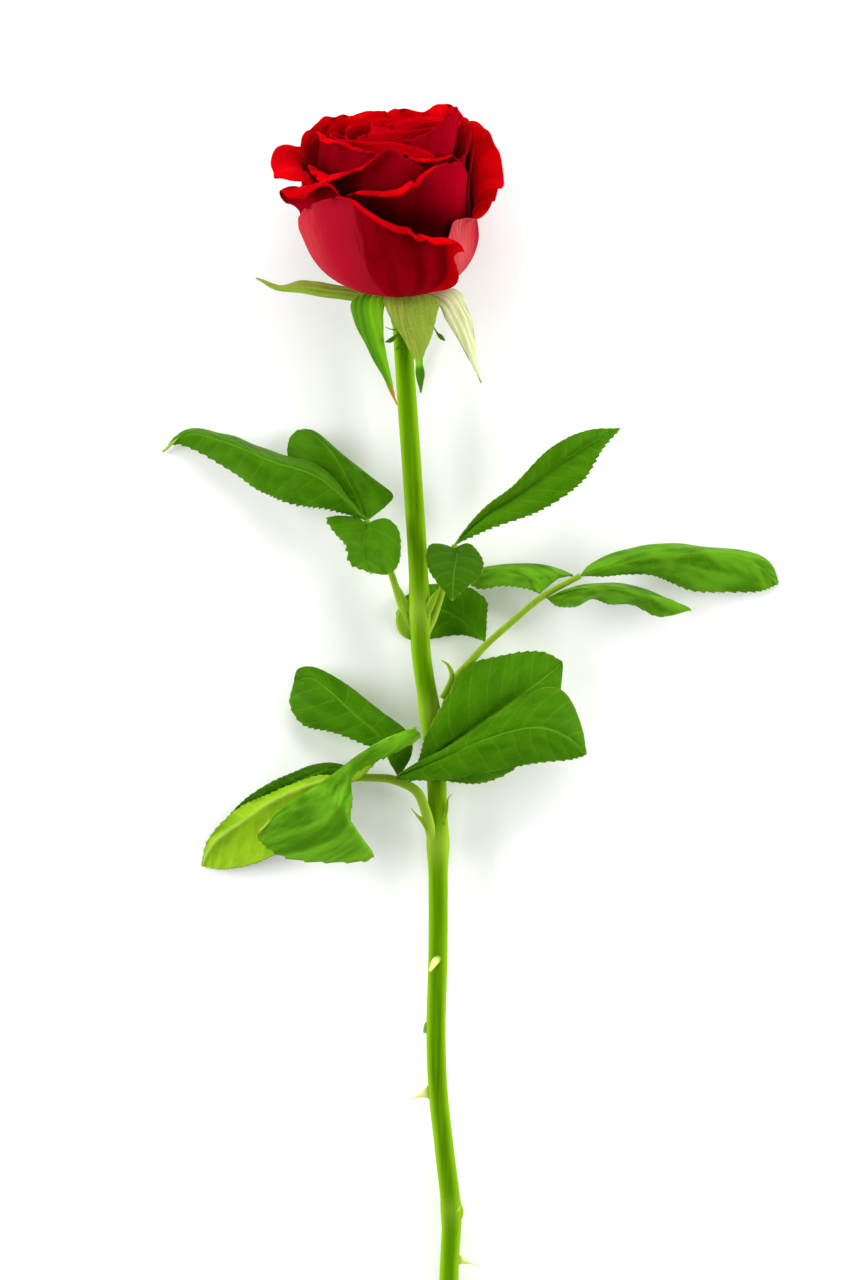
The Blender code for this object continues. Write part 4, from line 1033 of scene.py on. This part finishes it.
def leaf_look():
    """Green leaf: darker above than under, ribs and net paler, a yellow and reddish margin."""
    made, tree, shader, sheet, rib = material("leaf green", 0.45, 0.02, 0.1, (0.7, 1.0, 0.2))
    u, v, side = sheet
    ribs = use(tree, RIBS, Rib=rib, Width=0.3)
    broad = streaks(tree, rib, 0.7, 0.25, 5.0)
    tone = calc(tree, "FRACT", calc(tree, "ADD", parts(tree, rib)[2], 0.01))
    above = blend(tree, ramp(tree, 0.0, 0.45, tone), LEAF_DEEP, blend(tree, broad, LEAF_DARK, LEAF_GREEN))
    above = blend(tree, ramp(tree, 0.45, 0.9, tone), above, blend(tree, broad, LEAF_GREEN, LEAF_LIGHT))
    color = blend(tree, side, above, blend(tree, broad, LEAF_UNDER, LEAF_UNDER_PALE))
    veins = times(tree, calc(tree, "MAXIMUM", times(tree, ribs["Side"], 0.45), ribs["Middle"]), 0.7)
    veins = calc(tree, "MAXIMUM", veins, times(tree, ribs["Net"], 0.2))
    color = blend(tree, veins, color, blend(tree, side, LEAF_VEIN, LEAF_UNDER_VEIN))
    out = calc(tree, "MAXIMUM", calc(tree, "ABSOLUTE", u), v)
    edge = use(tree, RIM, Value=out, Width=0.05, Fray=broad)["Mask"]
    tint = blend(tree, ramp(tree, 0.5, 0.9, broad), LEAF_EDGE, LEAF_EDGE_RED)
    put(tree, shader["Base Color"], blend(tree, times(tree, edge, 0.45), color, tint))
    put(tree, shader["Roughness"], sloped(tree, side, 0.2, 0.42))
    bumped(tree, shader, times(tree, ribs["Net"], -1.0), 0.00003)
    see_through(tree, 0.15, (0.25, 0.55, 0.02))
    return made


def sepal_look():
    """Sepal: from green to whitish as its third mark tells, grained, with a brown tip."""
    made, tree, shader, sheet, rib = material("sepal green", 0.65, 0.06, 0.1, (0.9, 1.0, 0.6))
    tone = parts(tree, rib)[2]
    fine = streaks(tree, rib, 4.0, 2.6, 3.0)
    long = streaks(tree, rib, 2.2, 0.12, 3.0)
    olive = blend(tree, long, SEPAL_OLIVE, SEPAL_STRAW)
    pale = blend(tree, times(tree, long, 0.5), SEPAL_PALE, SEPAL_STRAW)
    color = blend(tree, ramp(tree, 0.0, 0.3, tone), SEPAL_DEEP, SEPAL_GREEN)
    color = blend(tree, ramp(tree, 0.3, 0.6, tone), color, olive)
    color = blend(tree, ramp(tree, 0.65, 1.0, tone), color, pale)
    fuzz = times(tree, fine, ramp(tree, 0.2, 0.5, tone))
    color = blend(tree, times(tree, fuzz, 0.45), color, SEPAL_FUZZ)
    edge = use(tree, RIM, Value=calc(tree, "ABSOLUTE", sheet[0]), Width=0.15, Fray=long)["Mask"]
    color = blend(tree, times(tree, edge, 0.5), color, SEPAL_EDGE)
    tip = times(tree, ramp(tree, 0.84, 0.97, sheet[1]), ramp(tree, 0.04, 0.08, tone))
    tip = times(tree, tip, opposite(tree, ramp(tree, 0.3, 0.5, tone)))
    put(tree, shader["Base Color"], blend(tree, tip, color, SEPAL_TIP))
    bumped(tree, shader, fine, 0.00004)
    see_through(tree, 0.1, (0.4, 0.6, 0.05))
    return made


def stem_look():
    """Stem: smooth green with long streaks, painted light on its sides, paler flecks, and yellowish where
    its third mark rises.
    """
    made, tree, shader, sheet, rib = material("stem green", 0.42, 0.0, 0.3, (0.6, 1.0, 0.02))
    place = object_place(tree)
    long = streaks(tree, place, 900.0, 25.0, 900.0)
    soft = streaks(tree, place, 200.0, 30.0, 200.0)
    color = blend(tree, long, STEM_DARK, STEM_GREEN)
    color = blend(tree, times(tree, soft, 0.3), color, STEM_LIGHT)
    # Painted light: the sides of the stem and stalks are lighter, as if lit from both sides.
    sides = sloped(tree, soft, 0.15, calc(tree, "ABSOLUTE", sheet[0]))
    color = blend(tree, ramp(tree, 0.3, 1.15, sides), color, STEM_LIT_SIDE)
    inputs = {"Vector": stretched(tree, place, (700.0, 260.0, 700.0)), "Scale": 1.0}
    dots = node(tree, "ShaderNodeTexVoronoi", inputs).outputs[0]
    fleck = times(tree, opposite(tree, ramp(tree, 0.04, 0.12, dots)), 0.12)
    color = blend(tree, fleck, color, STEM_FLECK)
    color = blend(tree, calc(tree, "MINIMUM", parts(tree, rib)[2], 0.9), color, STEM_KNOT)
    put(tree, shader["Base Color"], color)
    bumped(tree, shader, long, 0.00003)
    return made


def horn_look():
    """Prickle: greenish at the root, straw towards the tip, with a brown point."""
    made, tree, shader, sheet, rib = material("prickle straw", 0.45, 0.15)
    ripe = sheet[1]
    color = blend(tree, ramp(tree, 0.0, 0.35, ripe), STEM_GREEN, HORN_STRAW)
    grain = times(tree, streaks(tree, rib, 2.0, 0.6, 1.0), times(tree, ripe, 0.6))
    color = blend(tree, grain, color, STEM_KNOT)
    color = blend(tree, times(tree, ramp(tree, 0.9, 1.0, ripe), 0.6), color, HORN_TIP)
    put(tree, shader["Base Color"], color)
    return made


def stamen_look():
    """Stamens: straw with fine grain."""
    made, tree, shader, _, rib = material("stamen straw", 0.7, 0.2)
    grain = streaks(tree, rib, 2.0, 1.0, 1.0)
    put(tree, shader["Base Color"], blend(tree, grain, STAMEN_DARK, STAMEN_PALE))
    return made


def floor_look():
    """Matt white floor with hardly any grain."""
    made, tree, shader, _, _ = material("floor white", 0.95, 0.05)
    grain = streaks(tree, object_place(tree), 30.0, 30.0, 1.0)
    put(tree, shader["Base Color"], blend(tree, grain, FLOOR_GREY, FLOOR_WHITE))
    return made


def make_stem(look):
    """The stem, thicker and more yellow at its knots, with its horns."""
    path = curve_at(STEM_LINE, np.linspace(0, 1, 320))
    radius = np.full(len(path), STEM_RADIUS)
    knot = np.zeros(len(path))
    for place, extra, half in STEM_KNOTS:
        bell = extra * np.exp(-(((path[:, 1] - place) / half) ** 2))
        radius += bell
        knot += 0.45 * bell
    radius *= 1 + 0.012 * waves(1, 0.12 * path[:, 1])
    shape = rings(path, radius, radius, 40, CUT_SLANT, knot)
    piece("stem", joined([shape], "stem"), look)


def make_stalks(look):
    """Leaf stalks: a little wider than high, thicker and more yellow at the stem."""
    for name, (path, first, last) in STALKS.items():
        axis = curve_at(path, np.linspace(0, 1, 20 * len(path)))
        t = np.linspace(0, 1, len(axis))
        thick = first + (last - first) * t + 0.35 * np.exp(-((t / 0.08) ** 2))
        knot = 0.3 + 0.2 * np.exp(-((t / 0.3) ** 2))
        shape = rings(axis, 1.1 * thick, 0.95 * thick, 20, knot=knot)
        piece(name, joined([shape], name), look)


def make_prickles(look):
    """Each prickle rises from a long low root, sunk into the stem, and bends towards the cut end."""
    for name, (root, tip, half) in PRICKLES.items():
        wide, tall, low, ripe, far = PRICKLE_LOOKS[name]
        t = np.linspace(0, 1, 30)
        reach = far * (np.array(tip) - root)
        start = np.array(root) - PRICKLE_SUNK * unit(reach)
        axis = start + (root + reach - start) * t[:, None]
        axis[:, 1] += 0.7 * half * (1 - t) ** 2 * t
        taper = (1 - t) ** low
        points, faces, marks = rings(axis, 0.09 + wide * taper, 0.08 + tall * taper, 24)
        along = ripe * marks["rib"][:, 1] / marks["rib"][:, 1].max()
        marks["sheet"] = np.stack((0 * along, along, 0 * along), -1)
        piece(name, (points, faces, marks), look)


def make_leaves(look):
    """The leaflets, on grids that are finer at the margins for the teeth."""
    across = np.linspace(-1, 1, 31)
    across = np.sign(across) * (1 - (1 - np.abs(across)) ** 1.25)
    u, v = np.meshgrid(across, np.linspace(0.004, 0.996, 201))
    for number, (name, shape) in enumerate(LEAFLETS.items()):
        points, rib, away = leaflet(shape, number, u, v, TEETH.get(name, (1.0, 1.0)))
        mark = (rib, away, number + 0.9 * LEAF_TONES.get(name, 0.5))
        piece(name, slab(points, LEAF_THICK, u, v, mark), look)


def make_sepals(look):
    """The sepals: fluted blades with their hairs."""
    u, v = grid(25, 91, 0.01, 0.999)
    for number, (name, shape) in enumerate(SEPALS.items()):
        points, along, across = blade(shape, SEPAL_BULGE, u, v)
        fluted = 0.12 * np.sin(across * 3.2) + 0.15 * waves(number, 0.5 * along, 2 * u)
        points = points + face_normals(points) * (fluted * smooth(0, 0.15, v))[..., None]
        first, second = SEPAL_TONES[name]
        tone = first + (second - first) * smooth(-0.25, 0.25, u)
        tone = tone * (1 - SEPAL_TIP_GREEN.get(name, 0.0) * smooth(0.6, 0.8, v))
        shape = slab(points, SEPAL_THICK, u, v, (across, along, tone))
        piece(name, joined([shape], name), look)


def make_petals(look):
    """The petals listed one by one, then those of the heart, numbered in this order."""
    petals = [(name, spec, grid(81, 73), RUFFLES.get(name, 1.0)) for name, spec in PETALS.items()]
    for i, spec in enumerate(heart_petals()):
        petals.append((f"petal_heart_{i + 1:02d}", spec, grid(57, 57), HEART_RUFFLE))
    for number, (name, spec, (u, v), ruffle) in enumerate(petals):
        points = petal(spec, u, v, number, ruffle)
        rib = (running(points, 1)[-20:].mean(axis=0), running(points, 0), number)
        piece(name, slab(points, PETAL_THICK, u, v, rib), look)


def make_floor(look):
    """A square floor."""
    corners = [(x * FLOOR_HALF, y * FLOOR_HALF, 0) for x, y in ((-1, -1), (1, -1), (1, 1), (-1, 1))]
    mesh = bpy.data.meshes.new("floor")
    mesh.from_pydata(corners, [], [(0, 1, 2, 3)])
    mesh.materials.append(look)
    placed("floor", mesh)


def make_lights():
    """Square lights round the table, aimed at the flower, and an even light from all round."""
    for name, place, size, power in LIGHTS:
        light = bpy.data.lights.new(name, "AREA")
        light.energy = power
        light.size = size
        made = placed(name, light)
        made.location = place
        made.rotation_euler = (Vector(place) - Vector(LIGHT_AIM)).to_track_quat("Z", "Y").to_euler()
    world = bpy.data.worlds.new("room")
    bpy.context.scene.world = world
    world.use_nodes = True
    background = world.node_tree.nodes["Background"].inputs
    background["Color"].default_value = (1, 1, 1, 1)
    background["Strength"].default_value = ROOM_LIGHT
    bpy.context.scene.view_settings.view_transform = "Standard"


def make_camera():
    """The camera looks straight down."""
    camera = placed("camera", bpy.data.cameras.new("camera"))
    camera.location = CAMERA_PLACE
    camera.data.lens = CAMERA_LENS
    bpy.context.scene.camera = camera


green = stem_look()
make_stem(green)
piece("hip", turned_on_axis(HIP_PROFILE, 32), green)
piece("stamens", turned_on_axis(STAMEN_PROFILE, 24), stamen_look())
make_stalks(green)
make_prickles(horn_look())
make_leaves(leaf_look())
make_sepals(sepal_look())
make_petals(petal_look())
make_floor(floor_look())
make_lights()
make_camera()

bpy.context.view_layer.update()
